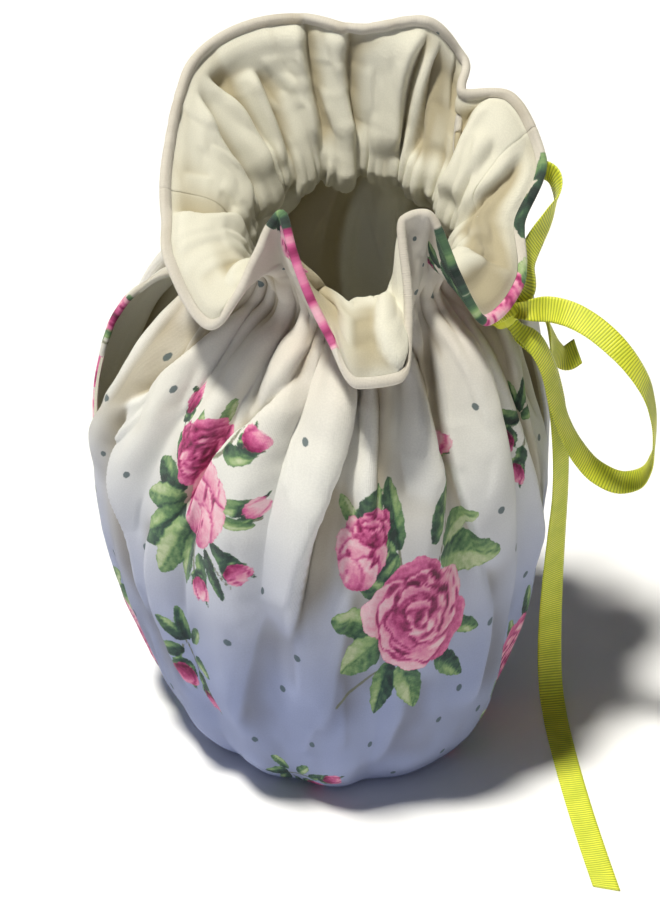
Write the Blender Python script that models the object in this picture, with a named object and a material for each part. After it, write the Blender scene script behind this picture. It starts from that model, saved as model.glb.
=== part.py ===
"""A gathered tea cosy: a padded print cover with a cream lining, a frilled neck and a ribbon bow.

It stands on its drawn-in hem, in the full shape that it has in use. The body's axis is upright, its front faces
-Y and the surface it stands on is Z = 0. Angles round the axis are in degrees from the front, positive to +X.
Each side seam is left open for a stretch below the neck, so that the cosy has a slit on its left and right.
"""

import math

import bpy
import numpy as np

# Driving dimensions, in metres
NECK_RADIUS = 0.044
HEM_RADIUS = 0.047
HEM_LAND = 0.012
PRINT_THICKNESS = 0.0020
LINING_THICKNESS = 0.0010
PIECE_GAP = 0.0003
RIBBON_WIDTH = 0.0105
RIBBON_THICKNESS = 0.0010

# The gathered neck leans towards the front, so its ring is this many degrees off level.
NECK_TILT = 10

# The tables below are measured from the foot of the body's axis. The part's origin is the middle of the floor that
# the whole cosy covers with its ribbon, this far from there.
ORIGIN = (0.0132, -0.0214, 0.0)

# The reference surface lies between the print and the lining, so it is this high where the hem lies flat.
HEM_LEVEL = PIECE_GAP / 2 + PRINT_THICKNESS

# Rows of cloth from the hem up to the neck and from the neck out to the rim, and columns across each panel
BODY_ROWS = 11
FRILL_ROWS = 7
COLUMNS = {"front": 50, "back": 40}
PANEL_ANGLE = {"front": 0, "back": 180}
FOLD_SOFTENING = 3
FOLD_THINNING = 0.7
THINNEST = 0.25
FOLD_TRIES = 14
FOLD_LEFT = 0.4

# Steps in degrees and in ways over which the cloth's directions are measured
SMALL_TURN = 0.4
SMALL_WAY = 0.004

# The body's outline from the hem to the neck, in metres. Sideways and forward are how far the section's centre lies
# towards +X and -Y.
BODY_PROFILE = (
    # height, radius, sideways, forward
    (HEM_LEVEL, HEM_RADIUS, 0.000, 0.014),
    (HEM_LEVEL, HEM_RADIUS + HEM_LAND, 0.000, 0.014),
    (0.010, 0.0690, -0.001, 0.012),
    (0.040, 0.0840, -0.002, 0.007),
    (0.080, 0.0925, -0.004, 0.002),
    (0.118, 0.0955, -0.005, 0.000),
    (0.150, 0.0940, -0.004, 0.000),
    (0.180, 0.0850, -0.001, 0.000),
    (0.203, 0.0710, 0.003, 0.000),
    (0.217, 0.0560, 0.005, 0.000),
    (0.223, 0.0470, 0.006, 0.000),
    (0.228, NECK_RADIUS, 0.006, 0.000),
)
BELLY_RADIUS = max(row[1] for row in BODY_PROFILE)
NECK_HEIGHT = BODY_PROFILE[-1][0]
NECK_SIDEWAYS = BODY_PROFILE[-1][2]

# Creases that run down the body. Depths are in metres at the neck, the belly and the hem, width is the half
# width in degrees on the steep side, and spread is how many times wider the soft side is.
BODY_FOLDS = (
    # at neck, at hem, depth at neck, at belly, at hem, width, spread
    (-78, -74, 0.010, 0.003, 0.004, 7, 1.6),
    (-52, -60, 0.010, 0.006, 0.003, 7, 2.0),
    (-34, -42, 0.012, 0.007, 0.006, 6, 1.8),
    (-14, -17, 0.013, 0.008, 0.005, 6, 1.8),
    (4, 2, 0.012, 0.006, 0.000, 6, 1.5),
    (22, 12, 0.010, 0.003, 0.006, 6, 1.6),
    (38, 34, 0.012, 0.006, 0.001, 6, 1.8),
    (58, 66, 0.012, 0.007, 0.006, 6, 2.0),
    (82, 88, 0.010, 0.004, 0.004, 7, 1.5),
    (112, 106, 0.011, 0.005, 0.004, 7, 1.7),
    (138, 142, 0.012, 0.006, 0.005, 7, 1.6),
    (160, 163, 0.010, 0.004, 0.002, 6, 1.6),
    (183, 181, 0.012, 0.007, 0.006, 7, 1.8),
    (207, 211, 0.011, 0.004, 0.002, 7, 1.6),
    (232, 236, 0.012, 0.006, 0.006, 7, 1.7),
    (256, 254, 0.010, 0.004, 0.003, 7, 1.6),
)

# The rim of the frill, where the cloth that leaves the neck at one angle ends up. Rise is above the neck, slope is
# the cloth's own slope at the rim, with 90 upright and negative hanging down.
FRILL_RIM = (
    # neck angle, rim angle, rim radius, rise, slope
    (-82, -82, 0.076, 0.020, 0),
    (-66, -66, 0.080, 0.012, -20),
    (-48, -46, 0.079, -0.003, -60),
    (-22, -36, 0.046, 0.041, 85),
    (-8, -6, 0.068, -0.003, -40),
    (1, 2, 0.079, -0.014, -70),
    (8, 13, 0.079, -0.013, -60),
    (16, 22, 0.061, 0.006, 20),
    (27, 30, 0.040, 0.036, 85),
    (36, 41, 0.043, 0.038, 85),
    (54, 50, 0.071, -0.008, -60),
    (66, 69, 0.073, -0.003, -45),
    (77, 88, 0.069, 0.009, -10),
    (86, 106, 0.081, 0.027, 20),
    (97, 124, 0.078, 0.043, 40),
    (110, 134, 0.063, 0.045, 65),
    (126, 142, 0.074, 0.052, 65),
    (146, 154, 0.066, 0.069, 75),
    (168, 177, 0.058, 0.066, 80),
    (190, 200, 0.069, 0.067, 75),
    (222, 232, 0.079, 0.059, 60),
    (240, 245, 0.077, 0.050, 55),
    (260, 260, 0.076, 0.034, 30),
)
FRILL_REACH = 0.070
NECK_SLOPE = 75

# The slits in the side seams. From and to are shares of the way up the body, half width is in degrees, and flare is
# how far the edges stand out. The cloth is drawn aside over the last stretch of each panel, this many degrees wide.
SLITS = {
    # side of the body, from, to, half width, flare
    "left": (-1, 0.52, 0.97, 14.0, 0.006),
    "right": (1, 0.46, 0.95, 10.0, 0.000),
}
SLIT_REACH = 45.0

# The bow's knot lies on the cover's shoulder, where the ribbon comes out of the gathers. Its half sizes run down the
# shoulder, along it towards the back, and out of it. It is sunk this far between two of the gathers.
KNOT_ANGLE = 72
KNOT_WAY = 0.90
KNOT_HALF_SIZES = (0.0075, 0.0068, 0.0055)
KNOT_SQUARENESS = 0.7
KNOT_SUNK = 0.0009

# The directions in which the ribbon's runs leave the knot.
RIBBON_LEAVES = {
    "loop_top": (0.93, -0.30, 0.20),
    "loop_foot": (0.70, -0.35, -0.62),
    "back_loop_top": (0.80, 0.40, 0.45),
    "back_loop_foot": (0.38, 0.78, 0.55),
    "long_tail": (0.50, -0.10, -0.86),
    "short_tail": (0.60, 0.72, -0.32),
}

# Where the ribbon goes: points of its middle line in metres, each with the way that its outer face looks.
RIBBON_LOOP = (
    # x, y, z, face x, face y, face z
    (0.0840, -0.0250, 0.2130, 0.15, -0.85, 0.50),
    (0.0915, -0.0300, 0.2145, 0.20, -0.80, 0.55),
    (0.1000, -0.0370, 0.2140, 0.25, -0.70, 0.65),
    (0.1084, -0.0440, 0.2105, 0.35, -0.60, 0.70),
    (0.1155, -0.0490, 0.2045, 0.55, -0.45, 0.70),
    (0.1218, -0.0510, 0.1945, 0.75, -0.35, 0.50),
    (0.1258, -0.0490, 0.1800, 0.90, -0.25, 0.25),
    (0.1277, -0.0440, 0.1620, 1.00, -0.15, 0.00),
    (0.1275, -0.0380, 0.1455, 1.00, 0.00, -0.25),
    (0.1235, -0.0330, 0.1333, 0.70, 0.20, -0.70),
    (0.1155, -0.0290, 0.1285, 0.20, 0.40, -0.90),
    (0.1068, -0.0270, 0.1322, -0.30, 0.50, -0.80),
    (0.0990, -0.0275, 0.1426, -0.60, 0.50, -0.55),
    (0.0930, -0.0290, 0.1562, -0.80, 0.45, -0.35),
    (0.0885, -0.0300, 0.1717, -0.80, 0.50, -0.25),
    (0.0840, -0.0300, 0.1900, -0.75, 0.50, -0.40),
    (0.0775, -0.0295, 0.2020, -0.65, 0.50, -0.60),
)
RIBBON_BACK_LOOP = (
    # x, y, z, face x, face y, face z
    (0.0755, -0.0080, 0.2240, 0.60, -0.60, 0.40),
    (0.0800, 0.0020, 0.2285, 0.75, -0.50, 0.30),
    (0.0850, 0.0100, 0.2330, 0.90, -0.35, 0.10),
    (0.0890, 0.0190, 0.2375, 0.95, 0.20, -0.10),
    (0.0870, 0.0270, 0.2425, 0.50, 0.85, 0.10),
    (0.0810, 0.0300, 0.2430, -0.30, 0.90, 0.20),
    (0.0745, 0.0270, 0.2380, -0.75, 0.60, 0.20),
    (0.0710, 0.0180, 0.2310, -0.85, 0.40, 0.10),
    (0.0695, 0.0030, 0.2240, -0.85, 0.45, 0.10),
    (0.0695, -0.0100, 0.2190, -0.85, 0.45, 0.10),
)
RIBBON_LONG_TAIL = (
    # x, y, z, face x, face y, face z
    (0.0760, -0.0255, 0.1990, 0.65, -0.45, 0.60),
    (0.0835, -0.0215, 0.1860, 0.75, -0.50, 0.40),
    (0.0885, -0.0215, 0.1680, 0.75, -0.60, 0.25),
    (0.0915, -0.0215, 0.1450, 0.75, -0.65, 0.10),
    (0.0925, -0.0210, 0.1200, 0.75, -0.65, 0.00),
    (0.0920, -0.0190, 0.0950, 0.65, -0.75, 0.00),
    (0.0915, -0.0160, 0.0680, 0.50, -0.85, 0.00),
    (0.0915, -0.0130, 0.0400, 0.30, -0.95, 0.00),
    (0.0920, -0.0120, 0.0200, 0.15, -0.95, 0.05),
    (0.0926, -0.0145, 0.0085, 0.08, -0.80, 0.50),
    (0.0932, -0.0195, 0.0030, 0.02, -0.45, 0.90),
    (0.0940, -0.0265, 0.0010, 0.00, -0.10, 1.00),
    (0.0946, -0.0340, 0.0006, 0.00, 0.00, 1.00),
    (0.0955, -0.0420, 0.0005, 0.00, 0.00, 1.00),
    (0.0985, -0.0650, 0.0005, 0.00, 0.00, 1.00),
    (0.1020, -0.0880, 0.0005, 0.00, 0.00, 1.00),
    (0.1060, -0.1110, 0.0005, 0.00, 0.00, 1.00),
    (0.1105, -0.1350, 0.0005, 0.00, 0.00, 1.00),
)
RIBBON_SHORT_TAIL = (
    # x, y, z, face x, face y, face z
    (0.0800, -0.0110, 0.2040, 0.30, 0.10, 0.80),
    (0.0850, -0.0040, 0.1920, 0.80, 0.00, 0.60),
    (0.0875, 0.0010, 0.1800, 0.90, -0.20, 0.40),
    (0.0905, 0.0050, 0.1690, 0.70, -0.50, 0.50),
    (0.0950, 0.0095, 0.1630, 0.30, -0.60, 0.75),
    (0.1000, 0.0140, 0.1635, -0.20, -0.70, 0.70),
)
RIBBON_STEP = 0.0040


def spline(at, places, values, period=None, level_peaks=False):
    """A smooth curve through the values, read at several places. With a period it closes on itself."""
    x = np.array(places, float)
    y = np.array(values, float)
    at = np.asarray(at, float)
    if period:
        at = x[0] + np.mod(at - x[0], period)
        x = np.concatenate([x[-2:] - period, x, x[:3] + period])
        y = np.concatenate([y[-2:], y, y[:3]])
    step = np.diff(x)
    slope = np.diff(y) / step
    tangent = np.empty_like(y)
    tangent[1:-1] = (slope[:-1] * step[1:] + slope[1:] * step[:-1]) / (step[:-1] + step[1:])
    tangent[0], tangent[-1] = slope[0], slope[-1]
    if level_peaks:
        steepest = 2.5 * np.minimum(np.abs(slope[:-1]), np.abs(slope[1:]))
        steepest[slope[:-1] * slope[1:] <= 0] = 0
        tangent[1:-1] = np.clip(tangent[1:-1], -steepest, steepest)
    i = np.clip(np.searchsorted(x, at, side="right") - 1, 0, len(step) - 1)
    t = (at - x[i]) / step[i]
    t2, t3 = t * t, t * t * t
    return (
        (2 * t3 - 3 * t2 + 1) * y[i]
        + (t3 - 2 * t2 + t) * step[i] * tangent[i]
        + (3 * t2 - 2 * t3) * y[i + 1]
        + (t3 - t2) * step[i] * tangent[i + 1]
    )


def eased(x, low, high):
    """0 below low, 1 above high, and a soft step between them."""
    t = np.clip((x - low) / (high - low), 0, 1)
    return t * t * (3 - 2 * t)


def unit(vectors):
    vectors = np.asarray(vectors, float)
    return vectors / np.maximum(np.linalg.norm(vectors, axis=-1, keepdims=True), 1e-12)


def column(table, place):
    return [row[place] for row in table]


def body_outline():
    """Shares of the way up, heights, radii, sideways and forward places of the body's outline."""
    heights, radii, sideways, forward = np.array(BODY_PROFILE).T
    way = np.concatenate([[0], np.cumsum(np.hypot(np.diff(heights), np.diff(radii)))])
    return way / way[-1], heights, radii, sideways, forward


def crease_depth(angle, up):
    """How deep the body's folds are, in metres, at an angle and a share of the way up."""
    depth = 0.0
    for at_neck, at_hem, neck, belly, hem, width, spread in BODY_FOLDS:
        centre = at_hem + (at_neck - at_hem) * up
        away = np.mod(angle - centre + 180, 360) - 180
        half = np.where(away < 0, width, width * spread) * (0.75 + 0.5 * (1 - up))
        deep = spline(up, (0.0, 0.1, 0.5, 0.9, 1.0), (0.3 * hem, hem, belly, neck, 0.4 * neck))
        depth = depth + deep * np.exp(-((away / half) ** 2))
    return depth


def lean(up):
    """How steeply the cloth's rings lean towards the front, at a share of the way up the body."""
    return math.tan(math.radians(NECK_TILT)) * eased(up, 0.55, 1.0)


def body_point(angle, up, panel):
    """Points of the body, at angles round the neck and shares of the way up from the hem."""
    share, heights, radii, sideways, forward = body_outline()
    turned = angle
    reach = spline(up, share, radii) - crease_depth(angle, up)
    for side, low, high, half, flare in SLITS.values():
        side = side if panel == "front" else -side
        opened = np.sin(np.pi * np.clip((up - low) / (high - low), 0, 1)) ** 1.3
        near = eased(side * (angle - PANEL_ANGLE[panel]), 90 - SLIT_REACH, 90)
        turned = turned - side * half * opened * near
        reach = reach + flare * opened * near
    turned = np.radians(turned)
    x = reach * np.sin(turned) + spline(up, share, sideways)
    y = -reach * np.cos(turned) - spline(up, share, forward)
    z = np.maximum(spline(up, share, heights), HEM_LEVEL) + lean(up) * y
    return np.stack([x, y, z], axis=-1)


def frill_point(angle, out):
    """Points of the frill, at angles round the neck and shares of the way out to the rim."""
    places = column(FRILL_RIM, 0)
    swing = np.degrees(np.unwrap(np.radians(column(FRILL_RIM, 1)))) - places
    swing, radius, rise, slope = (
        spline(angle, places, values, period=360, level_peaks=True)
        for values in (swing, column(FRILL_RIM, 2), column(FRILL_RIM, 3), column(FRILL_RIM, 4))
    )
    up = np.array([0.0, 0.0, 1.0])
    centre = np.array([NECK_SIDEWAYS, 0.0, NECK_HEIGHT])
    turned, rim_turned, slope = np.radians(angle), np.radians(angle + swing), np.radians(slope)
    heading = np.stack([np.sin(turned), -np.cos(turned), 0 * turned], axis=-1)
    rim_heading = np.stack([np.sin(rim_turned), -np.cos(rim_turned), 0 * turned], axis=-1)
    start = centre + heading * (NECK_RADIUS - crease_depth(angle, 1.0))[..., None]
    start[..., 2] += lean(1.0) * start[..., 1]
    end = centre + rim_heading * radius[..., None] + up * rise[..., None]
    lift = math.radians(NECK_SLOPE)
    leave = (heading * math.cos(lift) + up * math.sin(lift)) * FRILL_REACH
    arrive = (rim_heading * np.cos(slope)[..., None] + up * np.sin(slope)[..., None]) * FRILL_REACH
    t = np.asarray(out)[..., None]
    return (
        (2 * t**3 - 3 * t**2 + 1) * start
        + (t**3 - 2 * t**2 + t) * leave
        + (3 * t**2 - 2 * t**3) * end
        + (t**3 - t**2) * arrive
    )


def cloth_point(angle, way, panel):
    """Points of the whole cloth: way runs from 0 at the hem to 1 at the neck and 2 at the rim."""
    angle, way = np.broadcast_arrays(np.asarray(angle, float), np.asarray(way, float))
    body = body_point(angle, np.clip(way, 0, 1), panel)
    frill = frill_point(angle, np.clip(way - 1, 0, 1))
    return np.where((way > 1)[..., None], frill, body)


def cloth_normal(angle, way, panel):
    """The direction out of the cloth, towards the printed side."""
    across = cloth_point(angle + SMALL_TURN, way, panel) - cloth_point(angle - SMALL_TURN, way, panel)
    high = cloth_point(angle, np.minimum(way + SMALL_WAY, 2), panel)
    low = cloth_point(angle, np.maximum(way - SMALL_WAY, 0), panel)
    out = unit(np.cross(across, high - low))
    land = body_outline()[0][1]
    out[way <= land] = (0, 0, -1)
    return out


def softened(grid, turns):
    """A grid of points or directions, averaged with their neighbours but for the hem and the seams."""
    for turn in range(turns):
        wide = np.pad(grid, ((1, 1), (1, 1), (0, 0)), mode="edge")
        around = wide[:-2, 1:-1] + wide[2:, 1:-1] + wide[1:-1, :-2] + wide[1:-1, 2:]
        soft = 0.5 * grid + 0.125 * around
        soft[:2], soft[:, 0], soft[:, -1] = grid[:2], grid[:, 0], grid[:, -1]
        grid = soft
    return grid


def fold_room(middle, normal, inner, outer):
    """How much of the thickness fits at each point, so that neighbouring faces don't cross in a tight fold."""
    room = np.ones(middle.shape[:2])
    for turn in range(FOLD_TRIES):
        crossed = np.zeros(room.shape, bool)
        for side in (inner, outer):
            moved = middle + normal * (side * room)[..., None]
            for corner in (0, 1):
                faces = [corner_vectors(points, corner) for points in (middle, moved)]
                flipped = np.sum(faces[0] * faces[1], axis=-1) < FOLD_LEFT * np.sum(faces[0] ** 2, axis=-1)
                for down, right in ((0, 0), (0, 1), (1, 0), (1, 1)):
                    rows, columns = flipped.shape
                    crossed[down:down + rows, right:right + columns] |= flipped
        crossed[:2] = False
        room = np.where(crossed, np.maximum(room * FOLD_THINNING, THINNEST), room)
    return room


def corner_vectors(points, corner):
    """Area vectors of the two triangles of each cell of a grid: those at its first corner or its last."""
    a, b, c, d = points[:-1, :-1], points[:-1, 1:], points[1:, 1:], points[1:, :-1]
    return np.cross(b - a, c - a) if corner == 0 else np.cross(c - a, d - a)


def column_angles(panel):
    """Angles of a panel's columns of cloth, even along the rim of the frill and the belly together."""
    middle = PANEL_ANGLE[panel]
    fine = np.linspace(middle - 90, middle + 90, 721)
    rim = frill_point(fine, np.ones_like(fine))
    steps = np.linalg.norm(np.diff(rim, axis=0), axis=1) + BELLY_RADIUS * np.radians(np.diff(fine))
    way = np.concatenate([[0], np.cumsum(steps)])
    return np.interp(np.linspace(0, way[-1], COLUMNS[panel] + 1), way, fine)


def row_ways():
    """Ways from hem to rim at which the cloth has its rows."""
    land = body_outline()[0][1]
    body = land + (1 - land) * np.linspace(0, 1, BODY_ROWS) ** 0.9
    frill = 1 + np.linspace(0, 1, FRILL_ROWS + 1)[1:]
    return np.concatenate([[0.0], body, frill])


def cloth_sheet(panel, inner, outer):
    """Points and faces of one panel, a closed sheet between two distances out from the reference surface."""
    angle, way = np.meshgrid(column_angles(panel), row_ways())
    middle = softened(cloth_point(angle, way, panel), 1)
    normal = softened(cloth_normal(angle, way, panel), FOLD_SOFTENING)
    for edge, into in ((0, 1), (-1, -1)):
        inwards = cloth_point(angle[:, edge] + into * SMALL_TURN, way[:, edge], panel) - middle[:, edge]
        middle[:, edge] += unit(inwards) * PIECE_GAP / 2
    lining_face, print_face = -PIECE_GAP / 2 - LINING_THICKNESS, PIECE_GAP / 2 + PRINT_THICKNESS
    normal = normal * fold_room(middle, normal, lining_face, print_face)[..., None]
    rows, columns = angle.shape
    count = rows * columns
    points = np.concatenate([(middle + normal * side).reshape(-1, 3) for side in (inner, outer)])
    index = np.arange(count).reshape(rows, columns)
    low, right, high, left = index[:-1, :-1], index[:-1, 1:], index[1:, 1:], index[1:, :-1]
    halves = [np.stack(corners, axis=-1).reshape(-1, 3) for corners in ((low, right, high), (low, high, left))]
    skin = np.concatenate(halves)
    faces = [*(skin + count).tolist(), *skin[:, ::-1].tolist()]
    faces += edge_wall(index[0, :], count) + edge_wall(index[:, -1], count)
    faces += edge_wall(index[-1, ::-1], count) + edge_wall(index[::-1, 0], count, downwards=True)
    return points, faces


def edge_wall(border, count, downwards=False):
    """Triangles between the skins along one edge. Both walls of a seam are split along the same diagonal."""
    faces = []
    for here, there in zip(border[:-1], border[1:]):
        wall = [here, there, there + count, here + count]
        if downwards:
            wall = wall[1:] + wall[:1]
        faces += [[wall[0], wall[1], wall[2]], [wall[0], wall[2], wall[3]]]
    return faces


def knot_frame():
    """The knot's centre, and its directions down the shoulder, back along it and out of it."""
    angle, way = np.array([float(KNOT_ANGLE)]), np.array([KNOT_WAY])
    out = cloth_normal(angle, way, "front")[0]
    shoulder = cloth_point(angle, way, "front")[0] + out * (PIECE_GAP / 2 + PRINT_THICKNESS)
    back = unit(cloth_point(angle + 1, way, "front")[0] - cloth_point(angle - 1, way, "front")[0])
    down = unit(np.cross(back, out))
    centre = shoulder + out * (KNOT_HALF_SIZES[2] - KNOT_SUNK)
    return centre, np.array([down, back, out])


def ribbon_start(name):
    """Where a run of ribbon meets the knot, and the direction in which it leaves."""
    centre, frame = knot_frame()
    leaves = unit(RIBBON_LEAVES[name])
    shares = np.abs(frame @ leaves) / KNOT_HALF_SIZES
    reach = np.sum(shares ** (2 / KNOT_SQUARENESS)) ** (-KNOT_SQUARENESS / 2)
    return centre + leaves * (reach + PIECE_GAP), leaves


def ribbon_strip(table, first, last=None):
    """Points and faces of a run of ribbon, a flat strip bent along a table's points."""
    rows = np.array(table)
    points, faces = rows[:, :3], rows[:, 3:]
    start, leaves = ribbon_start(first)
    points = np.vstack([start, start + leaves * RIBBON_STEP, points])
    faces = np.vstack([faces[0], faces[0], faces])
    if last:
        end, leaves = ribbon_start(last)
        points = np.vstack([points, end + leaves * RIBBON_STEP, end])
        faces = np.vstack([faces, faces[-1], faces[-1]])
    way = np.concatenate([[0], np.cumsum(np.linalg.norm(np.diff(points, axis=0), axis=1))])
    at = np.linspace(0, way[-1], int(way[-1] / RIBBON_STEP) + 1)
    middle = np.stack([spline(at, way, points[:, k]) for k in range(3)], axis=-1)
    facing = np.stack([spline(at, way, faces[:, k]) for k in range(3)], axis=-1)
    heading = unit(np.gradient(middle, axis=0))
    across = unit(np.cross(facing, heading)) * RIBBON_WIDTH / 2
    thick = unit(np.cross(heading, across)) * RIBBON_THICKNESS / 2
    rings = np.stack([middle - across - thick, middle + across - thick, middle + across + thick,
                      middle - across + thick], axis=1)
    rings[..., 2] = np.maximum(rings[..., 2], 0)
    count = len(at)
    skin = [[4 * k + j, 4 * k + (j + 1) % 4, 4 * k + 4 + (j + 1) % 4, 4 * k + 4 + j]
            for k in range(count - 1) for j in range(4)]
    return rings.reshape(-1, 3), [[3, 2, 1, 0], *skin, [4 * count - 4 + j for j in range(4)]]


def knot_shape(turns=12, rings=8):
    """Points and faces of the knot, a block with well-rounded sides."""
    centre, frame = knot_frame()
    points = [(1.0, 0.0, 0.0)]
    for ring in range(1, rings):
        high = math.pi * ring / rings
        for turn in range(turns):
            wide = 2 * math.pi * turn / turns
            points.append((math.cos(high), math.sin(high) * math.cos(wide), math.sin(high) * math.sin(wide)))
    points.append((-1.0, 0.0, 0.0))
    points = np.array(points)
    points = np.sign(points) * np.abs(points) ** KNOT_SQUARENESS
    points = centre + (points * KNOT_HALF_SIZES) @ frame
    last = len(points) - 1
    faces = []
    for turn in range(turns):
        after = (turn + 1) % turns
        faces.append([0, 1 + turn, 1 + after])
        faces.append([last, last - turns + after, last - turns + turn])
        for ring in range(rings - 2):
            low, high = 1 + ring * turns, 1 + (ring + 1) * turns
            faces.append([low + turn, high + turn, high + after, low + after])
    return points, faces


def material(name, colour, roughness):
    made = bpy.data.materials.new(name)
    made.use_nodes = True
    shader = made.node_tree.nodes["Principled BSDF"]
    shader.inputs["Base Color"].default_value = (*colour, 1.0)
    shader.inputs["Roughness"].default_value = roughness
    shader.inputs["Metallic"].default_value = 0.0
    return made


def add_solid(name, shape, finish):
    points, faces = shape
    mesh = bpy.data.meshes.new(name)
    mesh.from_pydata([tuple(p) for p in points], [], faces)
    mesh.shade_smooth()
    mesh.set_sharp_from_angle(angle=math.radians(60))
    mesh.materials.append(finish)
    made = bpy.data.objects.new(name, mesh)
    made.location = [-along for along in ORIGIN]
    bpy.context.scene.collection.objects.link(made)
    return made


def build():
    for old in list(bpy.data.objects):
        bpy.data.objects.remove(old)
    print_cotton = material("print_cotton", (0.80, 0.79, 0.74), 0.85)
    cream_cotton = material("cream_cotton", (0.80, 0.76, 0.60), 0.85)
    grosgrain = material("green_grosgrain", (0.55, 0.62, 0.08), 0.60)
    half = PIECE_GAP / 2
    for panel in PANEL_ANGLE:
        add_solid(f"{panel}_cover", cloth_sheet(panel, half, half + PRINT_THICKNESS), print_cotton)
        add_solid(f"{panel}_lining", cloth_sheet(panel, -half - LINING_THICKNESS, -half), cream_cotton)
    add_solid("ribbon_knot", knot_shape(), grosgrain)
    add_solid("ribbon_loop", ribbon_strip(RIBBON_LOOP, "loop_top", "loop_foot"), grosgrain)
    add_solid("ribbon_back_loop", ribbon_strip(RIBBON_BACK_LOOP, "back_loop_top", "back_loop_foot"), grosgrain)
    add_solid("ribbon_long_tail", ribbon_strip(RIBBON_LONG_TAIL, "long_tail"), grosgrain)
    add_solid("ribbon_short_tail", ribbon_strip(RIBBON_SHORT_TAIL, "short_tail"), grosgrain)


build()
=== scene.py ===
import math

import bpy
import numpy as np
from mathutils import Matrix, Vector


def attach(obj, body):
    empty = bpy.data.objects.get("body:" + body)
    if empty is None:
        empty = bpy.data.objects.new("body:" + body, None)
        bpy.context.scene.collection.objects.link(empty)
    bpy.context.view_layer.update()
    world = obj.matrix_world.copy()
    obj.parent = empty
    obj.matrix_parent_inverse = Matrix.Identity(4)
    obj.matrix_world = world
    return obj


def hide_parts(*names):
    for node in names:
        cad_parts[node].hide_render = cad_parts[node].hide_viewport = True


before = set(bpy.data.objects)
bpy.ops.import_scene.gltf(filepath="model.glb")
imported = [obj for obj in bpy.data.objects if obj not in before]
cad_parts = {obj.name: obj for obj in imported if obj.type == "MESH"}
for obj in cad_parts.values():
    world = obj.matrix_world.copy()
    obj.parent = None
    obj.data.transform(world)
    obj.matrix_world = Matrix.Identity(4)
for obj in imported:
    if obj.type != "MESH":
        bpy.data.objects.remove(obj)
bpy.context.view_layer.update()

# The look of a gathered tea cosy: a padded rose print with a cream lining, and a bow of green grosgrain.
# All lengths are in metres. Angles round the cosy are in degrees from its front (-Y), positive towards +X.
# A way runs up each panel of cloth: 0 at the hem, 1 at the gathered neck and 2 at the rim of the frill.

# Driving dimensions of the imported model, and the tables of its shape
NECK_RADIUS = 0.044
HEM_RADIUS = 0.047
HEM_LAND = 0.012
PRINT_THICKNESS = 0.0020
PIECE_GAP = 0.0003
RIBBON_WIDTH = 0.0105
NECK_TILT = 10
HEM_LEVEL = PIECE_GAP / 2 + PRINT_THICKNESS
PANEL_ANGLE = {"front": 0, "back": 180}
# The tables are measured from the foot of the body's axis, which lies this far from the model's origin.
ORIGIN = (0.0132, -0.0214, 0.0)
SMALL_TURN = 0.4
SMALL_WAY = 0.004
BODY_PROFILE = (
    # height, radius, sideways, forward
    (HEM_LEVEL, HEM_RADIUS, 0.000, 0.014),
    (HEM_LEVEL, HEM_RADIUS + HEM_LAND, 0.000, 0.014),
    (0.010, 0.0690, -0.001, 0.012),
    (0.040, 0.0840, -0.002, 0.007),
    (0.080, 0.0925, -0.004, 0.002),
    (0.118, 0.0955, -0.005, 0.000),
    (0.150, 0.0940, -0.004, 0.000),
    (0.180, 0.0850, -0.001, 0.000),
    (0.203, 0.0710, 0.003, 0.000),
    (0.217, 0.0560, 0.005, 0.000),
    (0.223, 0.0470, 0.006, 0.000),
    (0.228, NECK_RADIUS, 0.006, 0.000),
)
BELLY_RADIUS = max(row[1] for row in BODY_PROFILE)
NECK_HEIGHT = BODY_PROFILE[-1][0]
NECK_SIDEWAYS = BODY_PROFILE[-1][2]
BODY_FOLDS = (
    # at neck, at hem, depth at neck, at belly, at hem, width, spread
    (-78, -74, 0.010, 0.003, 0.004, 7, 1.6),
    (-52, -60, 0.010, 0.006, 0.003, 7, 2.0),
    (-34, -42, 0.012, 0.007, 0.006, 6, 1.8),
    (-14, -17, 0.013, 0.008, 0.005, 6, 1.8),
    (4, 2, 0.012, 0.006, 0.000, 6, 1.5),
    (22, 12, 0.010, 0.003, 0.006, 6, 1.6),
    (38, 34, 0.012, 0.006, 0.001, 6, 1.8),
    (58, 66, 0.012, 0.007, 0.006, 6, 2.0),
    (82, 88, 0.010, 0.004, 0.004, 7, 1.5),
    (112, 106, 0.011, 0.005, 0.004, 7, 1.7),
    (138, 142, 0.012, 0.006, 0.005, 7, 1.6),
    (160, 163, 0.010, 0.004, 0.002, 6, 1.6),
    (183, 181, 0.012, 0.007, 0.006, 7, 1.8),
    (207, 211, 0.011, 0.004, 0.002, 7, 1.6),
    (232, 236, 0.012, 0.006, 0.006, 7, 1.7),
    (256, 254, 0.010, 0.004, 0.003, 7, 1.6),
)
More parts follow.
